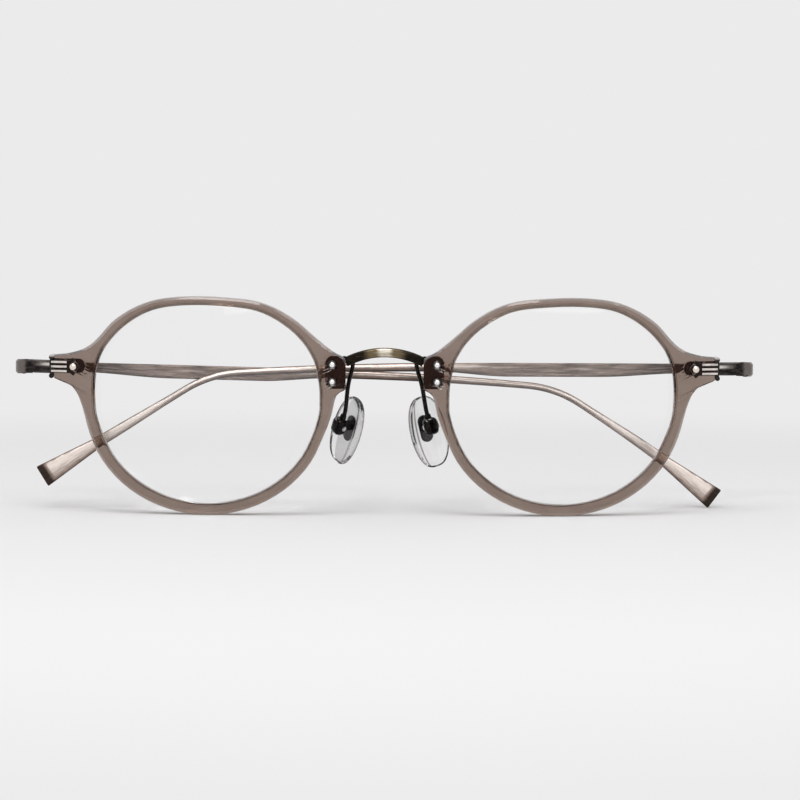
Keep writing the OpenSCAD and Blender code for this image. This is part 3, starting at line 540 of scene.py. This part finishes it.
def makeTemplePewter(looks, length):
    # The run attribute holds the length along the temple and the height and depth across it
    material, tree, body = startMaterial("templePewter", {"Metallic": 1.0})
    run = addNode(tree, "ShaderNodeAttribute", {"attribute_name": "run"}).outputs["Vector"]
    split = splitVector(tree, run)
    along = split["X"]
    up = maths(tree, "ADD", maths(tree, "MULTIPLY", split["Y"], 0.5), 0.5)  # 0 below, 1 above
    cloud = maths(tree, "SUBTRACT", useMottle(tree, run, looks["clouds"]), 0.5)
    lift = maths(tree, "ADD", up, maths(tree, "MULTIPLY", cloud, looks["cloudSwing"]))
    # Painted light and shade across the section, and painted shade at the root
    blade = maths(tree, "MULTIPLY", ramp(tree, lift, looks["blade"]),
                  between(tree, along, looks["root"], looks["rootShares"]))
    shade = blendColours(tree, between(tree, along, looks["bladeEnd"]), blade,
                         ramp(tree, lift, looks["rod"]))
    shade = blendColours(tree, between(tree, along, looks["tipStart"]), shade,
                         ramp(tree, lift, looks["tip"]))
    endSpan = [length - left for left in looks["tipFade"]]
    wearAndLight = maths(tree, "MULTIPLY", shade, between(tree, along, endSpan, looks["tipShares"]))
    streak = maths(tree, "SUBTRACT", useBrush(tree, run, looks["streaks"])["Mask"], 0.5)
    grain = maths(tree, "ADD", 0.5, maths(tree, "MULTIPLY", between(
        tree, along, looks["bladeEnd"], looks["streakShares"]), streak))
    usePatina(tree, body, wearAndLight, grain, looks)
    addBump(tree, body, grain, looks["bump"])
    return material


finishes = {
    "acetate": makeAcetate(acetateLooks),
    "lens": makeLensClear(lensLooks),
    "silicone": makeSilicone(siliconeLooks),
    "gold": makeBridgeGold(bridgeLooks),
    "rivet": makeRivetSteel("rivetSteel", (0.93, 0.92, 0.9, 1), (0.8, 0.95), rivetLooks),
    "shieldRivet": makeRivetSteel(
        "shieldRivetSteel", (0.84, 0.74, 0.66, 1), (0.45, 0.75), rivetLooks),
    "black": makeBlackPlating(platingLooks),
    "recess": makeShieldRecess(shieldLooks),
    "endpiece": makeEndpieceMetal(endpieceLooks),
    "hinge": makeSteel(
        "hingeGunmetal", (0.5, 0.47, 0.45, 1), (0.1, 0.09, 0.085, 1), (0.15, 0.6), steelLooks),
    "screw": makeSteel(
        "screwSteel", (0.75, 0.73, 0.7, 1), (0.3, 0.29, 0.28, 1), (0.45, 0.95), steelLooks),
    # Pad screws are coloured nearly white: a painted highlight on their small heads
    "padScrew": makeSteel(
        "padScrewSteel", (0.97, 0.96, 0.95, 1), (0.6, 0.58, 0.57, 1), (0.85, 1.1), steelLooks),
    "insert": makeSteel(
        "insertSteel", (0.2, 0.19, 0.185, 1), (0.035, 0.032, 0.03, 1), (0.1, 0.5), steelLooks),
    "ribs": makeSteel(
        "shieldPewter", (0.88, 0.81, 0.77, 1), (0.46, 0.41, 0.385, 1), (0.58, 1.0), steelLooks),
}
print("finishes made")


# Pieces

def finishPiece(piece, nodes, body, finish):
    piece.data.materials.append(finishes[finish])
    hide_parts(*nodes)
    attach(piece, body)
    return piece


def smoothMesh(mesh, angle):
    for polygon in mesh.polygons:
        polygon.use_smooth = True
    mesh.set_sharp_from_angle(angle=math.radians(angle))


def newObject(name, data):
    made = bpy.data.objects.new(name, data)
    bpy.context.scene.collection.objects.link(made)
    return made


def finishMesh(work, name, angle):
    mesh = bpy.data.meshes.new(name)
    work.to_mesh(mesh)
    work.free()
    smoothMesh(mesh, angle)
    return newObject(name, mesh)


mergeWithin = 0.001 * mm
edgeSizes = {"bevel": 0.05, "segments": 2, "bevelAngle": 38, "smoothAngle": 40, "flat": 0.5}


def dress(name, node, body, slot, finish, **changes):
    # A copy of a node's mesh with its flat faces whole and its edges broken
    sizes = {**edgeSizes, **changes}
    work = bmesh.new()
    work.from_mesh(frame["nodes"][node].data)
    bmesh.ops.remove_doubles(work, verts=work.verts, dist=mergeWithin)
    bmesh.ops.dissolve_limit(
        work, angle_limit=math.radians(sizes["flat"]), verts=work.verts, edges=work.edges)
    bmesh.ops.recalc_face_normals(work, faces=work.faces)
    piece = finishMesh(work, name, sizes["smoothAngle"])
    if sizes["bevel"]:
        broken = piece.modifiers.new("brokenEdges", "BEVEL")
        broken.width = sizes["bevel"] * mm
        broken.segments = sizes["segments"]
        broken.limit_method = "ANGLE"
        broken.angle_limit = math.radians(sizes["bevelAngle"])
        broken.harden_normals = True
    return finishPiece(piece, [node], body, finish)


frontPieces = {
    "rim": ("acetateRim", "rim_acetate", "acetate", {"bevel": 0.0, "flat": 0.05, "smoothAngle": 12}),
    "bridge_rivets": ("bridgeRivets", "rivet_steel", "rivet", {"bevel": 0.0, "flat": 0.01}),
    "endpiece_rivet": ("shieldRivet", "rivet_steel", "shieldRivet", {"bevel": 0.0, "flat": 0.01}),
    "pad_arm": ("padArm", "dark_metal", "black", {"bevel": 0.0, "flat": 0.01, "smoothAngle": 60}),
    "pad_screw": ("padScrew", "screw_steel", "padScrew", {"bevel": 0.04}),
    "endpiece": ("endpieceStrip", "dark_metal", "endpiece", {"bevel": 0.06}),
    "front_hinge": ("frontHinge", "dark_metal", "hinge", {}),
    "hinge_screw": ("hingeScrew", "screw_steel", "screw", {"bevel": 0.03}),
}
for side in sides:
    for node, (name, slot, finish, changes) in frontPieces.items():
        dress(name + side.capitalize(), f"{node}_{side}", "front", slot, finish, **changes)
    dress("templeHinge" + side.capitalize(), f"temple_hinge_{side}", f"{side}_temple",
          "dark_metal", "hinge")
    dress("padInsert" + side.capitalize(), f"pad_insert_{side}", f"{side}_pad",
          "insert_metal", "insert", bevel=0.06)
dress("bridgeArch", "bridge", "front", "bridge_gold", "gold", bevel=0.06, flat=0.2)
print("front dressed")


# Shield: a lozenge and three rounded ribs, with the dark patina left between them

shieldSizes = {
    "lapFrom": 64.0, "lapTo": 64.75, "ribMiddle": 28.45, "ribPitch": 0.88, "ribHeight": 0.4,
    "lapDepth": 0.28, "sunk": 0.005, "ribSkin": 0.12, "ribSlot": 1, "smoothAngle": 40,
}


def lapRibs(mesh, side, out, ribTop, sizes):
    # The ribs' outer ends run on over the cap
    outward = Vector((out.y, -out.x, 0.0)).normalized()
    if outward.x * sides[side] < 0:
        outward.negate()
    length = (sizes["lapTo"] - sizes["lapFrom"]) * mm / abs(outward.x)
    depth = sizes["lapDepth"] * mm
    onTop = out * (ribTop - sizes["sunk"] * mm - depth / 2)
    middle = (sizes["lapFrom"] + sizes["lapTo"]) / 2 * mm
    along = (middle - sides[side] * onTop.x) / abs(outward.x)
    turned = Matrix((outward, out, Vector((0, 0, 1)))).transposed().to_4x4()
    sized = Matrix.Diagonal((length, depth, sizes["ribHeight"] * mm, 1.0))
    work = bmesh.new()
    work.from_mesh(mesh)
    for step in (-1, 0, 1):
        spot = onTop + outward * along
        spot.z = (sizes["ribMiddle"] + step * sizes["ribPitch"]) * mm
        made = bmesh.ops.create_cube(work, size=1.0, matrix=Matrix.Translation(spot) @ turned @ sized)
        for face in {face for vertex in made["verts"] for face in vertex.link_faces}:
            face.material_index = sizes["ribSlot"]
    bmesh.ops.recalc_face_normals(work, faces=work.faces)
    work.to_mesh(mesh)
    work.free()
    smoothMesh(mesh, sizes["smoothAngle"])


def dressShield(side, sizes):
    piece = dress("endpieceShield" + side.capitalize(), f"endpiece_shield_{side}", "front",
                  "shield_pewter", "recess")
    mesh = piece.data
    mesh.materials.append(finishes["ribs"])
    frontFaces = (face for face in mesh.polygons if face.normal.y < -0.5)
    out = max(frontFaces, key=lambda face: face.area).normal
    ribTop = max(out.dot(vertex.co) for vertex in mesh.vertices)
    for polygon in mesh.polygons:
        if out.dot(polygon.center) > ribTop - sizes["ribSkin"] * mm:
            polygon.material_index = sizes["ribSlot"]
    lapRibs(mesh, side, out, ribTop, sizes)


for side in sides:
    dressShield(side, shieldSizes)
print("shields dressed")


# Helpers for the pieces that are built from rings of points

def closeRings(work, rings, centreFirst=None, centreLast=None):
    # Skin over rings of points, with a fan or one flat face at each end
    around = len(rings[0])
    for first, second in zip(rings, rings[1:]):
        for index in range(around):
            after = (index + 1) % around
            work.faces.new((first[index], first[after], second[after], second[index]))
    for ring, centre in ((rings[0], centreFirst), (rings[-1], centreLast)):
        if centre is None:
            work.faces.new(ring)
            continue
        for index in range(around):
            work.faces.new((centre, ring[index], ring[(index + 1) % around]))
    bmesh.ops.recalc_face_normals(work, faces=work.faces)


def eased(rows, x):
    # Value at x in rows of a place and a value, eased from row to row
    if x <= rows[0][0]:
        return rows[0][1]
    for (x0, y0), (x1, y1) in zip(rows, rows[1:]):
        if x <= x1:
            t = (x - x0) / (x1 - x0)
            return y0 + (y1 - y0) * t * t * (3 - 2 * t)
    return rows[-1][1]


def mirrorOf(side):
    return Matrix.Scale(sides[side], 4, (1, 0, 0))


# Lenses: true spheres inside the outline of the CAD lens, with the ridge that the rim grips

lensSizes = {
    "radius": 132.0, "wrap": 5.0, "thick": 1.8, "ridge": 0.5, "ridgeOut": 0.55,
    "eye": (34.0, 21.45), "depthShift": 8.29877, "around": 200, "rings": 12,
    "cornerAngle": 50, "cornerWithin": 0.03, "smoothAngle": 30,
}


def lensOutline(side, sizes, ball):
    # Distance of the lens's edge from its middle, at even angles
    work = bmesh.new()
    work.from_mesh(frame["nodes"][f"lens_{side}"].data)
    bmesh.ops.remove_doubles(work, verts=work.verts, dist=mergeWithin)
    front = sizes["radius"] + sizes["thick"] / 2
    marks = []
    for edge in work.edges:
        if edge.is_manifold and edge.calc_face_angle() > math.radians(sizes["cornerAngle"]):
            for vertex in edge.verts:
                place = vertex.co / mm
                if abs((place - ball).length - front) < sizes["cornerWithin"]:
                    x = abs(place.x) - sizes["eye"][0]
                    z = place.z - sizes["eye"][1]
                    marks.append((math.atan2(z, x), math.hypot(x, z)))
    work.free()
    marks = sorted(set(marks))
    (firstAngle, firstReach), (lastAngle, lastReach) = marks[0], marks[-1]
    marks.insert(0, (lastAngle - 2 * math.pi, lastReach))
    marks.append((firstAngle + 2 * math.pi, firstReach))
    outline = []
    at = 0
    for index in range(sizes["around"]):
        angle = -math.pi + 2 * math.pi * index / sizes["around"]
        while marks[at + 1][0] < angle:
            at += 1
        (a0, r0), (a1, r1) = marks[at], marks[at + 1]
        share = (angle - a0) / (a1 - a0) if a1 > a0 else 0.0
        outline.append((angle, r0 + (r1 - r0) * share))
    return outline


def makeLens(side, sizes):
    turn = sides[side]
    wrap = math.radians(sizes["wrap"])
    ball = Vector((turn * (sizes["eye"][0] - sizes["radius"] * math.sin(wrap)),
                   sizes["radius"] * math.cos(wrap) - sizes["depthShift"], sizes["eye"][1]))
    outline = lensOutline(side, sizes, ball)
    work = bmesh.new()

    def point(angle, reach, radius):
        x = turn * (sizes["eye"][0] + reach * math.cos(angle))
        z = sizes["eye"][1] + reach * math.sin(angle)
        depth = ball.y - math.sqrt(radius ** 2 - (x - ball.x) ** 2 - (z - ball.z) ** 2)
        return work.verts.new(Vector((x, depth, z)) * mm)

    def ring(share, radius, out=0.0):
        return [point(angle, share * reach + out, radius) for angle, reach in outline]

    front = sizes["radius"] + sizes["thick"] / 2
    back = sizes["radius"] - sizes["thick"] / 2
    ridgeFront = sizes["radius"] + sizes["ridge"] / 2
    ridgeBack = sizes["radius"] - sizes["ridge"] / 2
    shares = [(index + 1) / sizes["rings"] for index in range(sizes["rings"])]
    rings = [ring(share, front) for share in shares]
    rings += [ring(1, ridgeFront), ring(1, ridgeFront, sizes["ridgeOut"]),
              ring(1, ridgeBack, sizes["ridgeOut"]), ring(1, ridgeBack)]
    rings += [ring(share, back) for share in reversed(shares)]
    closeRings(work, rings, point(0, 0, front), point(0, 0, back))
    piece = finishMesh(work, "clearLens" + side.capitalize(), sizes["smoothAngle"])
    finishPiece(piece, [f"lens_{side}"], "front", "lens")


for side in sides:
    makeLens(side, lensSizes)
print("lenses ground")


# Temples: swept along the same run as the CAD temples, with finer sections

templeSizes = {
    "length": 143.1, "earAt": 99.0, "bend": 11.0, "earDrop": 28.0, "rodAt": 60.0, "sag": 3.5,
    "setFrom": 120.0, "setLength": 12.0, "set": {"left": 4.0, "right": 0.0},
    "leastBend": 0.001, "lean": {"left": 2.6, "right": 0.0}, "back": 1.7, "start": 0.12,
    "curl": 5.0, "flare": 13.0, "flareFrom": 2.1, "tipHeight": 4.5, "round": 0.25,
    "heights": [(0, 2.6), (11, 1.9), (28, 2.7), (46, 2.7), (60, 1.7), (85, 1.5), (99, 1.35),
                (110, 1.35), (130.1, 2.1)],
    "thicks": [(46, 1.0), (60, 1.45), (99, 1.35), (143.1, 1.15)],
    "sinks": [(11, 0), (28, 0.4), (46, 0.4), (60, 0)],
    "corners": [(46, 6), (60, 2.3), (110, 2.3), (130.1, 4), (143.1, 7)],
    "around": 40, "step": 1.2, "smoothAngle": 50,
}


def templeRun(sizes, side):
    # Stretches of the temple as pairs of length and bend in degrees, which is never quite 0
    earEnd = sizes["earAt"] + sizes["bend"]
    leastBend = sizes["leastBend"]
    return [
        (sizes["rodAt"], leastBend), (sizes["earAt"] - sizes["rodAt"], sizes["sag"]),
        (sizes["bend"], sizes["earDrop"]), (sizes["setFrom"] - earEnd, leastBend),
        (sizes["setLength"], sizes["set"][side] + leastBend),
        (sizes["length"] - sizes["setFrom"] - sizes["setLength"], leastBend),
    ]


def runPlace(stretches, s):
    # Place and heading at the length s along the run, which goes on past its last stretch
    x = z = heading = 0.0
    for index, (length, bend) in enumerate(stretches):
        last = index == len(stretches) - 1
        here = s if last else min(s, length)
        rate = math.radians(bend) / length
        turned = heading + rate * here
        x += (math.sin(turned) - math.sin(heading)) / rate
        z += (math.cos(turned) - math.cos(heading)) / rate
        heading = turned
        s -= here
        if s <= tiny:
            break
    return x, z, heading


def templeMatrix(side, sizes):
    joint = jointOf(f"{side}_temple_fold")
    hinge = Vector(joint["pos_m"])
    hinge.x *= sides[side]
    slope = math.asin(joint["axis"][0])
    turned = (Matrix.Translation(hinge) @ Matrix.Rotation(-slope, 4, "Y")
              @ Matrix.Rotation(-math.radians(sizes["lean"][side]), 4, "Z"))
    return mirrorOf(side) @ turned


def signedPower(value, power):
    return math.copysign(abs(value) ** power, value)


def templeSection(sizes, side, stretches, s, shrink):
    x, z, heading = runPlace(stretches, s)
    curlRate = math.radians(sizes["curl"]) / (sizes["length"] - sizes["earAt"])
    curl = (1 - math.cos(curlRate * max(0.0, s - sizes["earAt"]))) / curlRate
    flared = max(0.0, (s - sizes["length"] + sizes["flare"]) / sizes["flare"])
    height = eased(sizes["heights"], s) + flared * (sizes["tipHeight"] - sizes["flareFrom"])
    halfHeight = height / 2 - shrink
    halfThick = eased(sizes["thicks"], s) / 2 - shrink
    power = 2 / eased(sizes["corners"], s)
    ring = []
    for index in range(sizes["around"]):
        angle = 2 * math.pi * (index + 0.5) / sizes["around"]
        up = signedPower(math.sin(angle), power)
        out = signedPower(math.cos(angle), power)
        point = Vector((-x - up * halfHeight * math.sin(heading),
                        sizes["back"] - curl + out * halfThick,
                        z - eased(sizes["sinks"], s) + up * halfHeight * math.cos(heading)))
        ring.append((point, (s, up, out)))
    return ring


def templeStations(sizes):
    # Pairs of a length along the temple and how far the section shrinks there, to round both ends
    start, length, edge = sizes["start"], sizes["length"], sizes["round"]
    middle = length - start - 2 * edge
    count = int(middle / sizes["step"])
    stations = [(start + edge * (1 - math.cos(a)), edge * (1 - math.sin(a)))
                for a in (0.0, math.pi / 6, math.pi / 3)]
    stations += [(start + edge + index / count * middle, 0.0) for index in range(count + 1)]
    stations += [(length - edge * (1 - math.sin(a)), edge * (1 - math.cos(a)))
                 for a in (math.pi / 6, math.pi / 3, math.pi / 2)]
    return stations


def makeTemple(side, sizes):
    stretches = templeRun(sizes, side)
    whole = templeMatrix(side, sizes)
    work = bmesh.new()
    layer = work.verts.layers.float_vector.new("run")
    rings = []
    for s, shrink in templeStations(sizes):
        ring = []
        for point, runValue in templeSection(sizes, side, stretches, s, shrink):
            vertex = work.verts.new(whole @ (point * mm))
            vertex[layer] = runValue
            ring.append(vertex)
        rings.append(ring)
    closeRings(work, rings)
    piece = finishMesh(work, "temple" + side.capitalize(), sizes["smoothAngle"])
    finishPiece(piece, [f"temple_{side}"], f"{side}_temple", "temple")


finishes["temple"] = makeTemplePewter(templeLooks, templeSizes["length"])
for side in sides:
    makeTemple(side, templeSizes)
print("temples swept")


# Nose pads: clear silicone cushions round their inserts

padSizes = {
    "length": 14.3, "width": 7.7, "thick": 2.8, "out": 0.5, "front": 1.55, "low": 1.5,
    "rings": 48, "around": 64, "fill": 0.75, "frontShare": 0.62, "backShare": 0.38, "settle": 0.12,
    "lipAt": 0.5, "dish": [(0.6, 0.0), (0.84, 0.28)], "smoothAngle": 80,
}


def padMatrix(side):
    joint = jointOf(f"{side}_pad_rock")
    place = Vector(joint["pos_m"])
    place.x *= sides[side]
    axis = Vector(joint["axis"])
    axis.x *= sides[side]
    splay = math.atan2(axis.y, axis.x)
    lean = math.asin(axis.z)
    turned = (Matrix.Translation(place) @ Matrix.Rotation(splay, 4, "Z")
              @ Matrix.Rotation(-lean, 4, "Y"))
    return mirrorOf(side) @ turned


def padDepth(sizes, up):
    # Share of the thickness: a crowned face to the nose, a lip and a shallow dish behind
    if up >= 0:
        return sizes["frontShare"] * up
    lip = min(1.0, -up / sizes["lipAt"])
    return -(sizes["backShare"] * math.sin(lip * math.pi / 2) - eased(sizes["dish"], -up))


def makePad(side, sizes):
    # Each ring lies across the pad
    whole = padMatrix(side)
    centre = Vector((sizes["out"], sizes["front"] + sizes["thick"] / 2, -sizes["low"]))
    middle = -sizes["settle"] * sizes["thick"]
    work = bmesh.new()

    def point(across, depth, along):
        return work.verts.new(whole @ ((centre + Vector((across, depth, along))) * mm))

    rings = []
    for k in range(1, sizes["rings"]):
        along = math.pi * k / sizes["rings"]
        wide = math.sin(along) ** sizes["fill"]
        ring = []
        for j in range(sizes["around"]):
            angle = 2 * math.pi * j / sizes["around"]
            depth = padDepth(sizes, math.sin(angle)) * wide
            ring.append(point(
                math.cos(angle) * wide * sizes["width"] / 2, middle + depth * sizes["thick"],
                -math.cos(along) * sizes["length"] / 2))
        rings.append(ring)
    ends = [point(0, middle, end * sizes["length"] / 2) for end in (-1, 1)]
    closeRings(work, rings, ends[0], ends[1])
    piece = finishMesh(work, "nosePad" + side.capitalize(), sizes["smoothAngle"])
    finishPiece(piece, [f"nose_pad_{side}"], f"{side}_pad", "silicone")


boxSizes = {
    "width": 2.8, "back": 1.5, "mouth": 0.9, "height": 3.4, "round": 0.95, "roundSteps": 5,
    "wall": 0.06, "pocket": 1.7, "collar": 0.675, "collarTaper": 0.86, "collarHeight": 0.7,
    "collarSunk": 0.02, "around": 32, "smoothAngle": 40,
}


def makePadBox(side, sizes):
    # A rounded box with a pocket towards the pad and a collar where the arm enters
    work = bmesh.new()
    bmesh.ops.create_cube(work, size=1.0)
    depth = sizes["back"] + sizes["mouth"]
    bmesh.ops.scale(work, verts=work.verts, vec=(sizes["width"], depth, sizes["height"]))
    bmesh.ops.translate(work, verts=work.verts, vec=(0, (sizes["mouth"] - sizes["back"]) / 2, 0))
    bmesh.ops.bevel(
        work, geom=work.edges[:], offset=sizes["round"], offset_type="OFFSET",
        segments=sizes["roundSteps"], profile=0.5, affect="EDGES", clamp_overlap=True)
    work.faces.ensure_lookup_table()
    mouth = max(work.faces, key=lambda face: face.calc_center_median().y)
    bmesh.ops.inset_region(work, faces=[mouth], thickness=sizes["wall"])
    pushed = bmesh.ops.extrude_discrete_faces(work, faces=[mouth])["faces"]
    bmesh.ops.translate(work, verts=pushed[0].verts[:], vec=(0, -sizes["pocket"], 0))
    collar = bmesh.ops.create_cone(
        work, cap_ends=True, segments=sizes["around"], radius1=sizes["collar"],
        radius2=sizes["collar"] * sizes["collarTaper"], depth=sizes["collarHeight"])
    collarUp = sizes["height"] / 2 + sizes["collarHeight"] / 2 - sizes["collarSunk"]
    bmesh.ops.translate(work, verts=collar["verts"], vec=(0, 0, collarUp))
    bmesh.ops.transform(work, matrix=padMatrix(side) @ Matrix.Scale(mm, 4), verts=work.verts)
    bmesh.ops.recalc_face_normals(work, faces=work.faces)
    piece = finishMesh(work, "padBox" + side.capitalize(), sizes["smoothAngle"])
    finishPiece(piece, [f"pad_box_{side}"], "front", "black")


for side in sides:
    makePad(side, padSizes)
    makePadBox(side, boxSizes)
print("nose pads made")


# Floor, world and lamps

studio = {
    "pale": (0.838, 0.831, 0.838, 1), "ambient": 0.6, "aim": (0, 0, 0.02),
    "floorReach": 6.0, "floorRoughness": 0.9, "fade": (0.14, 0.3),
}
lamps = {
    "topSoftbox": {"size": 0.8, "power": 6.3, "place": (-0.14, -0.4, 1.3)},
    "frontFill": {"size": 0.5, "power": 0.5, "place": (0.06, -0.6, 0.42)},
    "smallSpark": {"size": 0.05, "power": 0.3, "place": (-0.12, -0.5, 0.4)},
    "rightSoftbox": {"size": 0.3, "power": 0.25, "place": (0.36, -0.5, 0.52)},
}


def makeFloor(looks):
    # Paper that fades into the even backdrop
    reach = looks["floorReach"]
    work = bmesh.new()
    corners = ((-reach, -reach), (reach, -reach), (reach, reach), (-reach, reach))
    work.faces.new([work.verts.new((x, y, 0)) for x, y in corners])
    mesh = bpy.data.meshes.new("paperFloor")
    work.to_mesh(mesh)
    work.free()
    floor = newObject("paperFloor", mesh)
    material, tree, body = startMaterial("palePaper", {
        "Base Color": looks["pale"], "Roughness": looks["floorRoughness"],
        "Specular IOR Level": 0.0})
    away = addNode(tree, "ShaderNodeVectorMath", {"operation": "LENGTH"}, {0: placeOf(tree)})
    far = between(tree, away.outputs["Value"], looks["fade"])
    glow = addNode(tree, "ShaderNodeEmission", None, {"Color": looks["pale"], "Strength": 1.0})
    mix = addNode(tree, "ShaderNodeMixShader", None, {
        0: far, 1: body.outputs["BSDF"], 2: glow.outputs["Emission"]})
    toOutput(tree, "Surface", mix.outputs["Shader"])
    mesh.materials.append(material)


def makeWorld(looks):
    # Seen directly, in reflections and through clear pieces the backdrop is pale
    world = bpy.data.worlds.new("studioAir")
    bpy.context.scene.world = world
    world.use_nodes = True
    tree = world.node_tree
    tree.nodes.clear()
    path = addNode(tree, "ShaderNodeLightPath")
    seen = maths(tree, "MAXIMUM", path.outputs["Is Camera Ray"], maths(
        tree, "MAXIMUM", path.outputs["Is Glossy Ray"], path.outputs["Is Transmission Ray"]))
    backdrop = addNode(tree, "ShaderNodeBackground", None, {"Color": looks["pale"], "Strength": 1.0})
    ambient = addNode(tree, "ShaderNodeBackground", None, {
        "Color": (1, 1, 1, 1), "Strength": looks["ambient"]})
    mix = addNode(tree, "ShaderNodeMixShader", None, {
        0: seen, 1: ambient.outputs["Background"], 2: backdrop.outputs["Background"]})
    addNode(tree, "ShaderNodeOutputWorld", None, {"Surface": mix.outputs["Shader"]})


def addLamp(name, lamp, aim):
    light = bpy.data.lights.new(name, "AREA")
    light.size = lamp["size"]
    light.energy = lamp["power"]
    holder = newObject(name, light)
    holder.location = lamp["place"]
    look = Vector(aim) - Vector(lamp["place"])
    holder.rotation_euler = look.to_track_quat("-Z", "Y").to_euler()


makeFloor(studio)
makeWorld(studio)
for name, lamp in lamps.items():
    addLamp(name, lamp, studio["aim"])
print("studio lit")


# Camera at the photograph's angle

cameraSizes = {
    "datum": (0.0, -8.3 * mm, 21.6 * mm), "distance": 0.55, "elevation": 4.0, "near": 0.01,
    "sensor": 36.0, "frameWidth": 154.4 * mm, "aimRight": 2.99 * mm, "aimUp": 0.87 * mm,
    "roll": 0.27,
}


def makeCamera(sizes):
    angle = math.radians(sizes["elevation"])
    back = Vector((0, -math.cos(angle), math.sin(angle)))
    up = Vector((0, math.sin(angle), math.cos(angle)))
    datum = Vector(sizes["datum"])
    data = bpy.data.cameras.new("photoCamera")
    data.sensor_width = sizes["sensor"]
    data.lens = sizes["sensor"] * sizes["distance"] / sizes["frameWidth"]
    data.clip_start = sizes["near"]
    camera = newObject("photoCamera", data)
    camera.location = datum + back * sizes["distance"]
    aim = datum + Vector((sizes["aimRight"], 0, 0)) + up * sizes["aimUp"]
    look = (aim - camera.location).to_track_quat("-Z", "Y").to_matrix().to_4x4()
    turned = look @ Matrix.Rotation(math.radians(sizes["roll"]), 4, "Z")
    camera.rotation_euler = turned.to_euler()
    bpy.context.scene.camera = camera


makeCamera(cameraSizes)
bpy.context.scene.view_settings.view_transform = "Standard"
print("camera placed")
